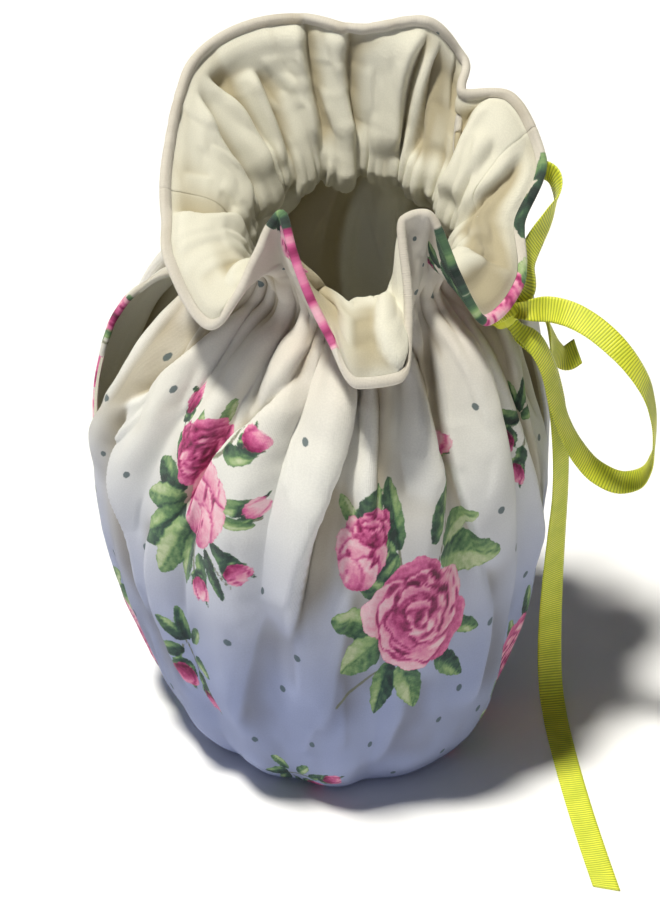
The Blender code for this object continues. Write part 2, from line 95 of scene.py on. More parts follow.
FRILL_RIM = (
    # neck angle, rim angle, rim radius, rise, slope
    (-82, -82, 0.076, 0.020, 0),
    (-66, -66, 0.080, 0.012, -20),
    (-48, -46, 0.079, -0.003, -60),
    (-22, -36, 0.046, 0.041, 85),
    (-8, -6, 0.068, -0.003, -40),
    (1, 2, 0.079, -0.014, -70),
    (8, 13, 0.079, -0.013, -60),
    (16, 22, 0.061, 0.006, 20),
    (27, 30, 0.040, 0.036, 85),
    (36, 41, 0.043, 0.038, 85),
    (54, 50, 0.071, -0.008, -60),
    (66, 69, 0.073, -0.003, -45),
    (77, 88, 0.069, 0.009, -10),
    (86, 106, 0.081, 0.027, 20),
    (97, 124, 0.078, 0.043, 40),
    (110, 134, 0.063, 0.045, 65),
    (126, 142, 0.074, 0.052, 65),
    (146, 154, 0.066, 0.069, 75),
    (168, 177, 0.058, 0.066, 80),
    (190, 200, 0.069, 0.067, 75),
    (222, 232, 0.079, 0.059, 60),
    (240, 245, 0.077, 0.050, 55),
    (260, 260, 0.076, 0.034, 30),
)
FRILL_REACH = 0.070
NECK_SLOPE = 75
SLITS = {
    # side of the body, from, to, half width, flare
    "left": (-1, 0.52, 0.97, 14.0, 0.006),
    "right": (1, 0.46, 0.95, 10.0, 0.000),
}
SLIT_REACH = 45.0

# How finely the cloth is modelled: rows up the body, rows out to the rim, and columns across each panel
BODY_ROWS = 214
FRILL_ROWS = 72
COLUMNS = {"front": 306, "back": 262}
LINING_COLUMNS = {"front": 250, "back": 236}

HEM_ROWS = 6
RIM_STEPS = 11
RETURN_STEPS = 7
FINE_ANGLES = 1441

# The skins stand this far off the middle of the cloth. The rim and the slits' edges are padded rolls.
PRINT_STAND = 0.0013
LINING_STAND = 0.0011
HEM_STAND = 0.0020
RIM_ROLL = 0.0018
RIM_SWELL = 0.0045
RIM_RETURN = 0.0046
SEAM_SINK = 0.0007
SEAM_NIP = 0.0003
SEAM_LAP = 0.0003
LINING_RISE = 0.004
SEAM_BULGE = 0.0006
SEAM_BULGE_AT = 0.006
EDGE_TURNS = np.radians([30, 60, 90, 125, 160])
EDGE_REACH = 0.0014
PRINT_LIFT = 0.0001
RIBBON_LIFT = 0.00005


def hermite(t, start, leave, end, arrive):
    """A smooth run from start to end, which leaves and arrives at the given rates."""
    return ((2 * t**3 - 3 * t**2 + 1) * start + (t**3 - 2 * t**2 + t) * leave
            + (3 * t**2 - 2 * t**3) * end + (t**3 - t**2) * arrive)


def spline(at, places, values, period=None, level_peaks=False):
    """A smooth curve through the values, read at several places. With a period it closes on itself."""
    x = np.array(places, float)
    y = np.array(values, float)
    at = np.asarray(at, float)
    if period:
        at = x[0] + np.mod(at - x[0], period)
        x = np.concatenate([x[-2:] - period, x, x[:3] + period])
        y = np.concatenate([y[-2:], y, y[:3]])
    step = np.diff(x)
    slope = np.diff(y) / step
    tangent = np.empty_like(y)
    tangent[1:-1] = (slope[:-1] * step[1:] + slope[1:] * step[:-1]) / (step[:-1] + step[1:])
    tangent[0], tangent[-1] = slope[0], slope[-1]
    if level_peaks:
        steepest = 2.5 * np.minimum(np.abs(slope[:-1]), np.abs(slope[1:]))
        steepest[slope[:-1] * slope[1:] <= 0] = 0
        tangent[1:-1] = np.clip(tangent[1:-1], -steepest, steepest)
    i = np.clip(np.searchsorted(x, at, side="right") - 1, 0, len(step) - 1)
    t = (at - x[i]) / step[i]
    return hermite(t, y[i], step[i] * tangent[i], y[i + 1], step[i] * tangent[i + 1])


def eased(x, low, high):
    """0 below low, 1 above high, and a soft step between them."""
    t = np.clip((x - low) / (high - low), 0, 1)
    return t * t * (3 - 2 * t)


def unit(vectors):
    vectors = np.asarray(vectors, float)
    return vectors / np.maximum(np.linalg.norm(vectors, axis=-1, keepdims=True), 1e-12)


def column(table, place):
    return [row[place] for row in table]


def body_outline():
    """Shares of the way up, heights, radii, sideways and forward places of the body's outline."""
    heights, radii, sideways, forward = np.array(BODY_PROFILE).T
    way = np.concatenate([[0], np.cumsum(np.hypot(np.diff(heights), np.diff(radii)))])
    return way / way[-1], heights, radii, sideways, forward


BODY_LENGTH = float(np.sum(np.hypot(np.diff(column(BODY_PROFILE, 0)), np.diff(column(BODY_PROFILE, 1)))))


def crease_depth(angle, up):
    """How deep the body's folds are, in metres, at an angle and a share of the way up."""
    depth = 0.0
    for at_neck, at_hem, neck, belly, hem, width, spread in BODY_FOLDS:
        centre = at_hem + (at_neck - at_hem) * up
        away = np.mod(angle - centre + 180, 360) - 180
        half = np.where(away < 0, width, width * spread) * (0.75 + 0.5 * (1 - up))
        deep = spline(up, (0.0, 0.1, 0.5, 0.9, 1.0), (0.3 * hem, hem, belly, neck, 0.4 * neck))
        depth = depth + deep * np.exp(-((away / half) ** 2))
    return depth


def lean(up):
    """How steeply the cloth's rings lean towards the front, at a share of the way up the body."""
    return math.tan(math.radians(NECK_TILT)) * eased(up, 0.55, 1.0)


def slit_opening(up, low, high):
    """How far a slit is open, from 0 to 1, at a share of the way up the body."""
    return np.sin(np.pi * np.clip((up - low) / (high - low), 0, 1)) ** 1.3


def body_point(angle, up, panel):
    """Points of the body, at angles round the neck and shares of the way up from the hem."""
    share, heights, radii, sideways, forward = body_outline()
    turned = angle
    reach = spline(up, share, radii) - crease_depth(angle, up)
    for side, low, high, half, flare in SLITS.values():
        side = side if panel == "front" else -side
        opened = slit_opening(up, low, high)
        near = eased(side * (angle - PANEL_ANGLE[panel]), 90 - SLIT_REACH, 90)
        turned = turned - side * half * opened * near
        reach = reach + flare * opened * near
    turned = np.radians(turned)
    x = reach * np.sin(turned) + spline(up, share, sideways)
    y = -reach * np.cos(turned) - spline(up, share, forward)
    z = np.maximum(spline(up, share, heights), HEM_LEVEL) + lean(up) * y
    return np.stack([x, y, z], axis=-1)


def frill_point(angle, out):
    """Points of the frill, at angles round the neck and shares of the way out to the rim."""
    places = column(FRILL_RIM, 0)
    swing = np.degrees(np.unwrap(np.radians(column(FRILL_RIM, 1)))) - places
    swing, radius, rise, slope = (
        spline(angle, places, values, period=360, level_peaks=True)
        for values in (swing, column(FRILL_RIM, 2), column(FRILL_RIM, 3), column(FRILL_RIM, 4))
    )
    up = np.array([0.0, 0.0, 1.0])
    centre = np.array([NECK_SIDEWAYS, 0.0, NECK_HEIGHT])
    turned, rim_turned, slope = np.radians(angle), np.radians(angle + swing), np.radians(slope)
    heading = np.stack([np.sin(turned), -np.cos(turned), 0 * turned], axis=-1)
    rim_heading = np.stack([np.sin(rim_turned), -np.cos(rim_turned), 0 * turned], axis=-1)
    start = centre + heading * (NECK_RADIUS - crease_depth(angle, 1.0))[..., None]
    start[..., 2] += lean(1.0) * start[..., 1]
    end = centre + rim_heading * radius[..., None] + up * rise[..., None]
    lift = math.radians(NECK_SLOPE)
    leave = (heading * math.cos(lift) + up * math.sin(lift)) * FRILL_REACH
    arrive = (rim_heading * np.cos(slope)[..., None] + up * np.sin(slope)[..., None]) * FRILL_REACH
    return hermite(np.asarray(out)[..., None], start, leave, end, arrive)


def cloth_point(angle, way, panel):
    """Points of the whole cloth: way runs from 0 at the hem to 1 at the neck and 2 at the rim."""
    body = body_point(angle, np.clip(way, 0, 1), panel)
    frill = frill_point(angle, np.clip(way - 1, 0, 1))
    return np.where((way > 1)[..., None], frill, body)


def softened(grid, turns):
    """A grid averaged with its neighbours, but for its first two rows and its side edges."""
    for turn in range(turns):
        wide = np.pad(grid, ((1, 1), (1, 1), (0, 0)), mode="edge")
        around = wide[:-2, 1:-1] + wide[2:, 1:-1] + wide[1:-1, :-2] + wide[1:-1, 2:]
        soft = 0.5 * grid + 0.125 * around
        soft[:2], soft[:, 0], soft[:, -1] = grid[:2], grid[:, 0], grid[:, -1]
        grid = soft
    return grid


def grid_normals(points):
    """Unit normals of a grid whose rows run up the cloth and whose columns run round it."""
    across = np.gradient(points, axis=1)
    upwards = np.gradient(points, axis=0)
    return unit(np.cross(across, upwards))


def unevenness(u, v, size, seed):
    """Smooth noise from -1 to 1 over cloth places in metres, with bumps about as wide as size."""
    lattice = np.random.default_rng(seed).uniform(-1, 1, (64, 64))
    x, y = np.asarray(u) / size + 200.0, np.asarray(v) / size + 200.0
    i, j = np.floor(x).astype(int), np.floor(y).astype(int)
    p, q = x - i, y - j
    p, q = p * p * (3 - 2 * p), q * q * (3 - 2 * q)
    a, b = lattice[i % 64, j % 64], lattice[(i + 1) % 64, j % 64]
    c, d = lattice[i % 64, (j + 1) % 64], lattice[(i + 1) % 64, (j + 1) % 64]
    return a * (1 - p) * (1 - q) + b * p * (1 - q) + c * (1 - p) * q + d * p * q


# Flat places on the cloth: u is metres round it, counted at the belly with the width that the folds take up,
# and v is metres up from the hem.
FULLNESS = 1.25


def flat_u(angle):
    return BELLY_RADIUS * np.radians(angle) * FULLNESS


def flat_v(way):
    return np.minimum(way, 1) * BODY_LENGTH + np.maximum(way - 1, 0) * FRILL_REACH


# The small gathers where the cloth is drawn in at the neck: how deep, how wide in degrees, how far they run
GATHERS = 60
GATHER_SEED = 7
GATHER_STRAY = 0.35
GATHER_DEPTHS = (0.0013, 0.0027)
GATHER_HALVES = (1.2, 1.9)
GATHER_DOWN = (0.012, 0.050)
GATHER_UP = (0.006, 0.022)
GATHER_DRIFT = 60
GATHER_WIDENS = 12


def gather_relief(angle, way):
    """The height of the neck's small gathers."""
    dice = np.random.default_rng(GATHER_SEED)
    along = flat_v(way) - BODY_LENGTH
    relief = np.zeros(np.broadcast(angle, way).shape)
    for k in range(GATHERS):
        centre = 360 / GATHERS * (k + dice.uniform(-GATHER_STRAY, GATHER_STRAY))
        depth = dice.uniform(*GATHER_DEPTHS)
        half = dice.uniform(*GATHER_HALVES) * (1 + GATHER_WIDENS * np.abs(along))
        down, up = dice.uniform(*GATHER_DOWN), dice.uniform(*GATHER_UP)
        drift = dice.uniform(-GATHER_DRIFT, GATHER_DRIFT)
        away = np.mod(angle - centre - drift * along + 180, 360) - 180
        fade = np.exp(-((along / np.where(along < 0, down, up)) ** 2))
        relief -= depth * fade * np.exp(-((away / half) ** 2))
    return relief


# Folds pressed into the cloth, each along a line of angles and ways. The cloth stands high on the side of the
# smaller angle and drops over a steep wall to the other side. A negative height turns the sides round.
CREASES = (
    # height, wall, reach on the high side, reach on the low side, the line's angles and ways
    (-0.0042, 0.0014, 0.012, 0.010, ((-83, 0.76), (-76, 0.66), (-62, 0.52), (-60, 0.34))),
    (-0.0037, 0.0012, 0.010, 0.012, ((-56, 0.97), (-66, 0.84), (-84, 0.71))),
    (-0.0050, 0.0011, 0.013, 0.010, ((-21, 0.90), (-34, 0.71), (-43, 0.56))),
    (0.0030, 0.0010, 0.008, 0.006, ((-20, 0.96), (-24, 0.88), (-31, 0.78))),
    (0.0065, 0.0013, 0.016, 0.010, ((1, 0.97), (0, 0.78), (-4, 0.62), (-9, 0.42))),
    (-0.0025, 0.0010, 0.008, 0.006, ((6, 0.95), (3, 0.80), (1, 0.68))),
    (0.0032, 0.0010, 0.010, 0.008, ((9, 0.97), (11, 0.80), (12, 0.64))),
    (0.0045, 0.0012, 0.012, 0.009, ((27, 0.97), (29, 0.83), (33, 0.66))),
    (-0.0032, 0.0009, 0.007, 0.009, ((41, 0.95), (38, 0.76), (44, 0.50))),
    (0.0050, 0.0010, 0.016, 0.010, ((61, 0.97), (69, 0.74), (72, 0.50), (75, 0.34))),
    (-0.0022, 0.0026, 0.014, 0.012, ((-31, 0.66), (-37, 0.52), (-40, 0.38))),
    (0.0022, 0.0026, 0.016, 0.014, ((8, 0.56), (4, 0.42), (-2, 0.24))),
    (0.0022, 0.0026, 0.016, 0.014, ((-15, 0.52), (-22, 0.36), (-29, 0.20))),
    (-0.0028, 0.0019, 0.014, 0.012, ((-49, 0.60), (-52, 0.44), (-46, 0.22))),
    (0.0025, 0.0024, 0.016, 0.012, ((42, 0.54), (47, 0.40), (45, 0.22))),
    (0.0020, 0.0026, 0.014, 0.014, ((22, 0.36), (20, 0.24), (15, 0.12))),
    (0.0042, 0.0012, 0.014, 0.010, ((104, 0.97), (110, 0.74), (107, 0.48))),
    (-0.0037, 0.0012, 0.012, 0.012, ((128, 0.96), (123, 0.78), (128, 0.52))),
    (0.0047, 0.0012, 0.016, 0.010, ((150, 0.97), (155, 0.76), (152, 0.44))),
    (-0.0030, 0.0017, 0.014, 0.012, ((170, 0.95), (176, 0.70), (172, 0.46))),
    (0.0052, 0.0012, 0.016, 0.010, ((193, 0.97), (196, 0.78), (192, 0.40))),
    (-0.0040, 0.0012, 0.014, 0.012, ((220, 0.96), (214, 0.72), (218, 0.46))),
    (0.0045, 0.0012, 0.014, 0.010, ((244, 0.97), (248, 0.76), (244, 0.50))),
    (-0.0025, 0.0024, 0.016, 0.014, ((204, 0.52), (207, 0.36), (202, 0.20))),
    (0.0025, 0.0024, 0.016, 0.014, ((138, 0.50), (134, 0.34), (139, 0.20))),
    (0.0052, 0.0010, 0.010, 0.014, ((187, 2.02), (190, 1.66), (196, 1.08))),
    (0.0040, 0.0010, 0.012, 0.010, ((172, 2.02), (176, 1.68), (178, 1.12))),
    (0.0057, 0.0011, 0.007, 0.014, ((144, 1.94), (151, 1.60), (156, 1.08))),
    (0.0042, 0.0009, 0.009, 0.006, ((138, 1.92), (142, 1.64), (149, 1.10))),
    (-0.0052, 0.0011, 0.012, 0.010, ((101, 1.96), (106, 1.62), (116, 1.10))),
    (0.0032, 0.0014, 0.009, 0.008, ((93, 1.72), (95, 1.50), (101, 1.12))),
    (0.0040, 0.0011, 0.012, 0.010, ((88, 1.90), (87, 1.52), (94, 1.08))),
    (0.0055, 0.0011, 0.010, 0.012, ((232, 1.88), (241, 1.58), (250, 1.22), (258, 1.05))),
    (0.0042, 0.0011, 0.012, 0.012, ((224, 1.88), (221, 1.55), (230, 1.14))),
    (0.0037, 0.0014, 0.012, 0.010, ((277, 1.98), (281, 1.62), (271, 1.12))),
    (0.0037, 0.0010, 0.010, 0.010, ((208, 1.74), (211, 1.44), (216, 1.08))),
    (0.0030, 0.0011, 0.008, 0.008, ((10, 1.30), (6, 1.70), (9, 1.98))),
    (-0.0025, 0.0012, 0.010, 0.008, ((66, 1.90), (64, 1.55), (66, 1.15))),
    (0.0025, 0.0012, 0.010, 0.008, ((-50, 1.70), (-54, 1.40), (-50, 1.08))),
)


FRILL_RADIUS = 0.072


def cloth_radius(way):
    """How far the cloth is from the cosy's axis at each way, to turn angles into lengths."""
    share, radii = body_outline()[0], body_outline()[2]
    frill = NECK_RADIUS + (FRILL_RADIUS - NECK_RADIUS) * np.clip(way - 1, 0, 1)
    return np.where(way > 1, frill, np.interp(way, share, radii))


def fold(angle, way, radius, height, wall, high_reach, low_reach, line):
    """The relief of one fold along its line, which fades out at both ends."""
    angles, ways = np.array(sorted(line, key=lambda place: place[1])).T
    centre = spline(np.clip(way, ways[0], ways[-1]), ways, angles)
    aside = np.radians(np.mod(angle - centre + 180, 360) - 180) * radius
    along = (way - ways[0]) / (ways[-1] - ways[0])
    fade = eased(along, 0.0, 0.22) * (1 - eased(along, 0.80, 1.0))
    reach = np.where(aside * height < 0, high_reach, low_reach)
    return height * fade * np.tanh(-aside / wall) * np.exp(-np.abs(aside) / reach)


# Small crumples, scattered over the cloth
CRUMPLES = (
    # count, lowest way, highest way, height, length
    (70, 1.04, 1.98, 0.0009, 0.46),
    (80, 0.62, 0.98, 0.0011, 0.16),
    (50, 0.10, 0.66, 0.0006, 0.16),
)
CRUMPLE_SEED = 5
CRUMPLE_WALLS = (0.0009, 0.0016)
CRUMPLE_REACHES = (0.003, 0.007)
CRUMPLE_SLANT = 8
PANEL_HALF = 105

# Places where the cloth swells outwards
SWELLS = (
    # angle, way, half width in degrees, half height in ways, height
    (-14, 1.60, 6, 0.30, 0.0070),
    (58, 1.74, 10, 0.18, 0.0055),
    (-34, 0.78, 9, 0.10, 0.0015),
    (-12, 0.72, 8, 0.14, 0.0020),
    (48, 0.66, 7, 0.12, 0.0015),
)


def crumple_relief(angle, way, radius):
    """The crumples that lie on the panel, from one scattering over the whole cosy."""
    dice = np.random.default_rng(CRUMPLE_SEED)
    middle = np.mean(angle)
    relief = np.zeros(np.broadcast(angle, way).shape)
    for count, lowest, highest, height, length in CRUMPLES:
        for k in range(count):
            at, foot = dice.uniform(0, 360), dice.uniform(lowest, highest - 0.6 * length)
            top = min(foot + dice.uniform(0.5, 1.3) * length, highest + 0.05)
            slant = dice.uniform(-CRUMPLE_SLANT, CRUMPLE_SLANT) * dice.uniform(0.1, 1.0)
            size = dice.uniform(0.4, 1.3) * height
            wall, reach = dice.uniform(*CRUMPLE_WALLS), dice.uniform(*CRUMPLE_REACHES)
            size = size * dice.choice((-1, 1))
            if abs((at - middle + 180) % 360 - 180) < PANEL_HALF:
                relief += fold(angle, way, radius, size, wall, reach, reach, ((at, foot), (at + slant, top)))
    return relief


def crease_relief(angle, way):
    radius = cloth_radius(way)
    relief = crumple_relief(angle, way, radius)
    for height, wall, high_reach, low_reach, line in CREASES:
        relief += fold(angle, way, radius, height, wall, high_reach, low_reach, line)
    for at_angle, at_way, wide, high, height in SWELLS:
        aside = (np.mod(angle - at_angle + 180, 360) - 180) / wide
        relief += height * np.exp(-(aside**2) - ((way - at_way) / high) ** 2)
    return relief


# The softness of the wadding: bumps over all the cloth, more at the neck, and small ones at the frill's rim
BUMPS = {
    # height, size, how much the bumps are drawn out up the cloth, seed
    "large": (0.00055, 0.022, 0.60, 3),
    "small": (0.00028, 0.009, 0.80, 4),
    "neck": (0.00060, 0.0065, 0.25, 5),
    "rim": (0.00060, 0.0045, 0.50, 6),
}
NECK_BUMPS_REACH = 0.05
RIM_BUMPS_REACH = 0.007
FRILL_CALM = 0.55
HEM_CALM = 0.012


def bumps(kind, u, v):
    height, size, drawn_out, seed = BUMPS[kind]
    return height * unevenness(u, v * drawn_out, size, seed)


def fine_relief(angle, way):
    """How far the cloth stands off its main shape: gathers, creases and the softness of the wadding."""
    u, v = flat_u(angle), flat_v(way)
    near_neck = np.exp(-(((v - BODY_LENGTH) / NECK_BUMPS_REACH) ** 2))
    near_rim = np.exp(-(((2 - way) * FRILL_REACH / RIM_BUMPS_REACH) ** 2))
    soft = (bumps("large", u, v) + bumps("small", u, v)) * (1 + 0.8 * near_neck)
    soft = soft + near_neck * bumps("neck", u, v)
    soft = soft + near_rim * bumps("rim", u * cloth_radius(way) / BELLY_RADIUS, v)
    soft = soft * (1 - FRILL_CALM * eased(way, 1.10, 1.35))
    off_hem = eased(v, HEM_LAND, HEM_LAND + HEM_CALM)
    return (soft + gather_relief(angle, way) + crease_relief(angle, way)) * off_hem


HOLLOW_FROM = 0.0006
HOLLOW_DEPTH = 0.0032


def hollow(angle, way, side):
    """How deep in a fold the cloth lies, from 0 to 1, seen from its outside (1) or its inside (-1)."""
    return np.clip((HOLLOW_FROM - side * fine_relief(angle, way)) / HOLLOW_DEPTH, 0, 1)


def column_angles(panel, columns):
    """Angles of a panel's columns of cloth, even along the rim of the frill and the belly together."""
    middle = PANEL_ANGLE[panel]
    fine = np.linspace(middle - 90, middle + 90, FINE_ANGLES)
    rim = frill_point(fine, np.ones_like(fine))
    steps = np.linalg.norm(np.diff(rim, axis=0), axis=1) + BELLY_RADIUS * np.radians(np.diff(fine))
    way = np.concatenate([[0], np.cumsum(steps)])
    return np.interp(np.linspace(0, way[-1], columns + 1), way, fine)


def row_ways():
    land = body_outline()[0][1]
    body = land + (1 - land) * np.linspace(0, 1, BODY_ROWS)
    frill = 1 + np.linspace(0, 1, FRILL_ROWS + 1)[1:]
    return np.concatenate([np.linspace(0, land, HEM_ROWS)[:-1], body, frill])


class Cloth:
    """The middle surface of one panel, with its normals and its distances from the rim."""

    def __init__(self, panel, columns):
        self.panel = panel
        self.angle, self.way = np.meshgrid(column_angles(panel, columns), row_ways())
        main = cloth_point(self.angle, self.way, panel)
        normal = softened(self.levelled(grid_normals(main)), 4)
        self.points = main + normal * fine_relief(self.angle, self.way)[..., None]
        self.normal = unit(softened(self.levelled(grid_normals(self.points)), 3))
        steps = np.linalg.norm(np.diff(self.points, axis=0), axis=2)
        self.length = np.vstack([np.zeros(steps.shape[1]), np.cumsum(steps, axis=0)])

    def levelled(self, normal):
        """The hem's land lies flat, so its print faces straight down."""
        land = body_outline()[0][1]
        normal[self.way <= land] = (0, 0, -1)
        return normal

    def at_length(self, length):
        """Points, normals and headings at rows of lengths up the columns."""
        found = []
        for values in (self.points, self.normal, np.gradient(self.points, axis=0)):
            row = np.empty((len(length), *values.shape[1:]))
            for j in range(values.shape[1]):
                for k in range(3):
                    row[:, j, k] = np.interp(length[:, j], self.length[:, j], values[:, j, k])
            found.append(row)
        return found[0], unit(found[1]), unit(found[2])

    def ways_at(self, length):
        return np.stack([np.interp(length[:, j], self.length[:, j], self.way[:, j])
                         for j in range(length.shape[1])], axis=1)

    def row_lengths(self, stop):
        """Lengths up each column: the body's rows, and the frill's up to a stop short of the rim."""
        neck = int(np.searchsorted(self.way[:, 0], 1.0))
        whole = self.length[-1]
        frill = np.linspace(0, 1, FRILL_ROWS + 1)[1:, None]
        upper = self.length[neck] + (whole - stop - self.length[neck]) * frill
        return np.vstack([self.length[:neck + 1], upper])


def slit_share(panel, side, way):
    """How far the panel's edge on one side is free at each way: 1 in the slit and 0 in the sewn seam."""
    free = 0
    for slit_side, low, high, half, flare in SLITS.values():
        facing = slit_side if panel == "front" else -slit_side
        if facing == side:
            free = eased(slit_opening(np.clip(way, 0, 1), low, high), 0.0, 0.12) * (way < 1)
    return free


def with_edges(points, normal, stand, panel, way, free_edges):
    """The skin with its side edges turned in: rolled round in the slits, and nipped down in the seams."""
    sides = []
    for edge, near, side in ((0, 1, -1), (-1, -2, 1)):
        gone = points[:, edge] - points[:, near]
        outwards = unit(gone)
        reach = np.minimum(np.linalg.norm(gone, axis=1), EDGE_REACH)[:, None]
        up = normal[:, near]
        high = stand[:, near, None]
        free = (slit_share(panel, side, way[:, edge]) if free_edges else np.zeros(len(points)))[:, None]
        strips = []
        for turn in EDGE_TURNS:
            past = max(0.0, math.sin(turn - math.pi / 2))
            first = min(turn, math.pi / 2)
            roll_down, roll_back = high * (1 - math.cos(turn)), reach * (1 - math.sin(turn))
            rolled = points[:, edge] - up * roll_down - outwards * roll_back
            nip = SEAM_NIP * (1 - math.cos(first)) + 0.9 * high * past
            lap = SEAM_LAP * past - 0.3 * reach * (1 - math.sin(first))
            sewn = points[:, edge] - up * nip + outwards * lap
            strips.append(rolled * free + sewn * (1 - free))
        strip = np.stack(strips, axis=1)
        sides.append(strip[:, ::-1] if side < 0 else strip)
    return np.concatenate([sides[0], points[:, 1:-1], sides[1]], axis=1)


def widened(values):
    """Values of the grid's columns, repeated for the columns that with_edges adds."""
    count = len(EDGE_TURNS)
    return np.concatenate([np.repeat(values[:, :1], count, axis=1), values[:, 1:-1],
                           np.repeat(values[:, -1:], count, axis=1)], axis=1)


def print_skin(cloth):
    """The printed skin: under the hem, up the body, out to the rim, round its roll and back to the seam."""
    lengths = cloth.row_lengths(RIM_ROLL)
    points, normal, heading = cloth.at_length(lengths)
    way = cloth.ways_at(lengths)
    to_rim = cloth.length[-1] - lengths
    swell = (RIM_ROLL - PRINT_STAND) * np.exp(-(((to_rim - RIM_ROLL) / RIM_SWELL) ** 2))
    at_hem = (HEM_STAND - PRINT_STAND) * (1 - eased(lengths, HEM_LAND, 2.5 * HEM_LAND))
    stand = PRINT_STAND + swell + at_hem
    normal = unit(softened(normal, 2))
    rows = [points + normal * stand[..., None]]
    ways, stands, normals = [way], [stand], [normal]
    end = points[-1]
    along_rim = unit(np.gradient(end, axis=0))
    end_normal, end_heading = (unit(v - along_rim * np.sum(v * along_rim, axis=-1, keepdims=True))
                               for v in (normal[-1], heading[-1]))
    for turn in np.radians(np.linspace(0, 180, RIM_STEPS)[1:]):
        roll = end_normal * math.cos(turn) + end_heading * math.sin(turn)
        rows.append((end + roll * RIM_ROLL)[None])
        ways.append(way[-1:])
        stands.append(stand[-1:])
        normals.append(unit(roll)[None])
    for share in np.linspace(0, 1, RETURN_STEPS)[1:]:
        back = cloth.length[-1:] - RIM_ROLL - (RIM_RETURN - RIM_ROLL) * share
        inner, inner_normal = cloth.at_length(back)[:2]
        depth = RIM_ROLL + (SEAM_SINK - RIM_ROLL) * share**2.2
        rows.append(inner - unit(inner_normal) * depth)
        ways.append(cloth.ways_at(back))
        stands.append(stand[-1:])
        normals.append(-inner_normal)
    foot = []
    first, first_normal, first_heading = points[0], normal[0], heading[0]
    for turn in np.radians((180, 135, 90, 45)):
        roll = first_normal * math.cos(turn) - first_heading * math.sin(turn)
        foot.append((first + roll * HEM_STAND)[None])
        ways.insert(0, way[:1])
        stands.insert(0, stand[:1])
        normals.insert(0, unit(roll)[None])
    grid = np.concatenate(foot + rows)
    way, stand, normal = np.concatenate(ways), np.concatenate(stands), np.concatenate(normals)
    angle = np.broadcast_to(cloth.angle[:1], way.shape)
    grid = with_edges(grid, normal, stand, cloth.panel, way, True)
    grid[..., 2] = np.maximum(grid[..., 2], PRINT_LIFT)
    return grid, widened(angle), widened(way)


def lining_skin(cloth):
    """The lining: from the rim's seam in to the neck and down the inside of the body to the hem."""
    lengths = cloth.row_lengths(RIM_RETURN)
    points, normal = cloth.at_length(lengths)[:2]
    way = cloth.ways_at(lengths)
    normal = unit(softened(normal, 2))
    to_seam = cloth.length[-1] - RIM_RETURN - lengths
    low = SEAM_SINK * 0.5
    stand = low + (LINING_STAND - low) * eased(to_seam, 0.0, LINING_RISE)
    stand = stand + SEAM_BULGE * np.exp(-(((to_seam - SEAM_BULGE_AT) / LINING_RISE) ** 2))
    grid = points - normal * stand[..., None]
    grid = with_edges(grid, -normal, stand, cloth.panel, way, False)
    angle = np.broadcast_to(cloth.angle[:1], way.shape)
    return grid[:, ::-1], widened(angle)[:, ::-1], widened(way)[:, ::-1]


def mesh_object(name, points, faces, flat):
    """An object of points and faces, with each point's flat place on its cloth as its UV map."""
    mesh = bpy.data.meshes.new(name)
    mesh.from_pydata(points.reshape(-1, 3).tolist(), [], faces)
    corner = np.empty(len(mesh.loops), np.int32)
    mesh.loops.foreach_get("vertex_index", corner)
    layer = mesh.uv_layers.new(name="cloth")
    layer.data.foreach_set("uv", flat.reshape(-1, 2)[corner].astype(np.float32).reshape(-1))
    mesh.shade_smooth()
    return placed(name, mesh)


def grid_object(name, grid, angle, way):
    """An object made of one grid of points."""
    rows, columns = grid.shape[:2]
    index = np.arange(rows * columns).reshape(rows, columns)
    faces = np.stack([index[:-1, :-1], index[:-1, 1:], index[1:, 1:], index[1:, :-1]], axis=-1)
    flat = np.stack([flat_u(angle), flat_v(way)], axis=-1)
    return mesh_object(name, grid, faces.reshape(-1, 4).tolist(), flat)


def placed(name, mesh):
    """An object of the mesh, moved from the tables' frame to the model's."""
    made = bpy.data.objects.new(name, mesh)
    made.location = [-along for along in ORIGIN]
    bpy.context.scene.collection.objects.link(made)
    return made


def add_field(piece, name, values):
    """A number at each point of the piece, for its material to read."""
    layer = piece.data.attributes.new(name, "FLOAT", "POINT")
    layer.data.foreach_set("value", np.asarray(values, np.float32).reshape(-1))


# The print. Each layer is a field in millimetres on the flat cloth, positive inside its shapes, so that their
# edges stay sharp between the points that carry it. A tone runs from 0, the palest stroke, to 1, the deepest.
LAYERS = ("stem", "leaf", "bloom", "dot")
FAR_OUT = -4.0
SPRAY_REACH = 0.085
STEM_HALF = 0.7


def cos_sin(turn):
    turn = math.radians(turn)
    return math.cos(turn), math.sin(turn)


class Print:
    """The layers and tones of the print over one skin, in places on the flat cloth."""

    def __init__(self, u, v, deep):
        self.u, self.v, self.deep = u, v, deep
        self.layers = {name: np.full(u.shape, FAR_OUT) for name in LAYERS}
        self.tones = {name: np.full(u.shape, 0.5) for name in ("leaf", "bloom")}

    def near(self, u, v, reach):
        return np.nonzero((np.abs(self.u - u) < reach) & (np.abs(self.v - v) < reach))

    def add(self, layer, where, field):
        self.layers[layer][where] = np.maximum(self.layers[layer][where], field)

    def cut(self, layer, where, field):
        """Takes a shape out of a layer, so that what lies over it hides it."""
        self.layers[layer][where] = np.minimum(self.layers[layer][where], -field)

    def brush(self, layer, where, share, tone):
        """Paints a tone over the layer, as strongly as share says."""
        share = np.clip(share, 0, 1)
        self.tones[layer][where] = self.tones[layer][where] * (1 - share) + np.clip(tone, 0, 1) * share


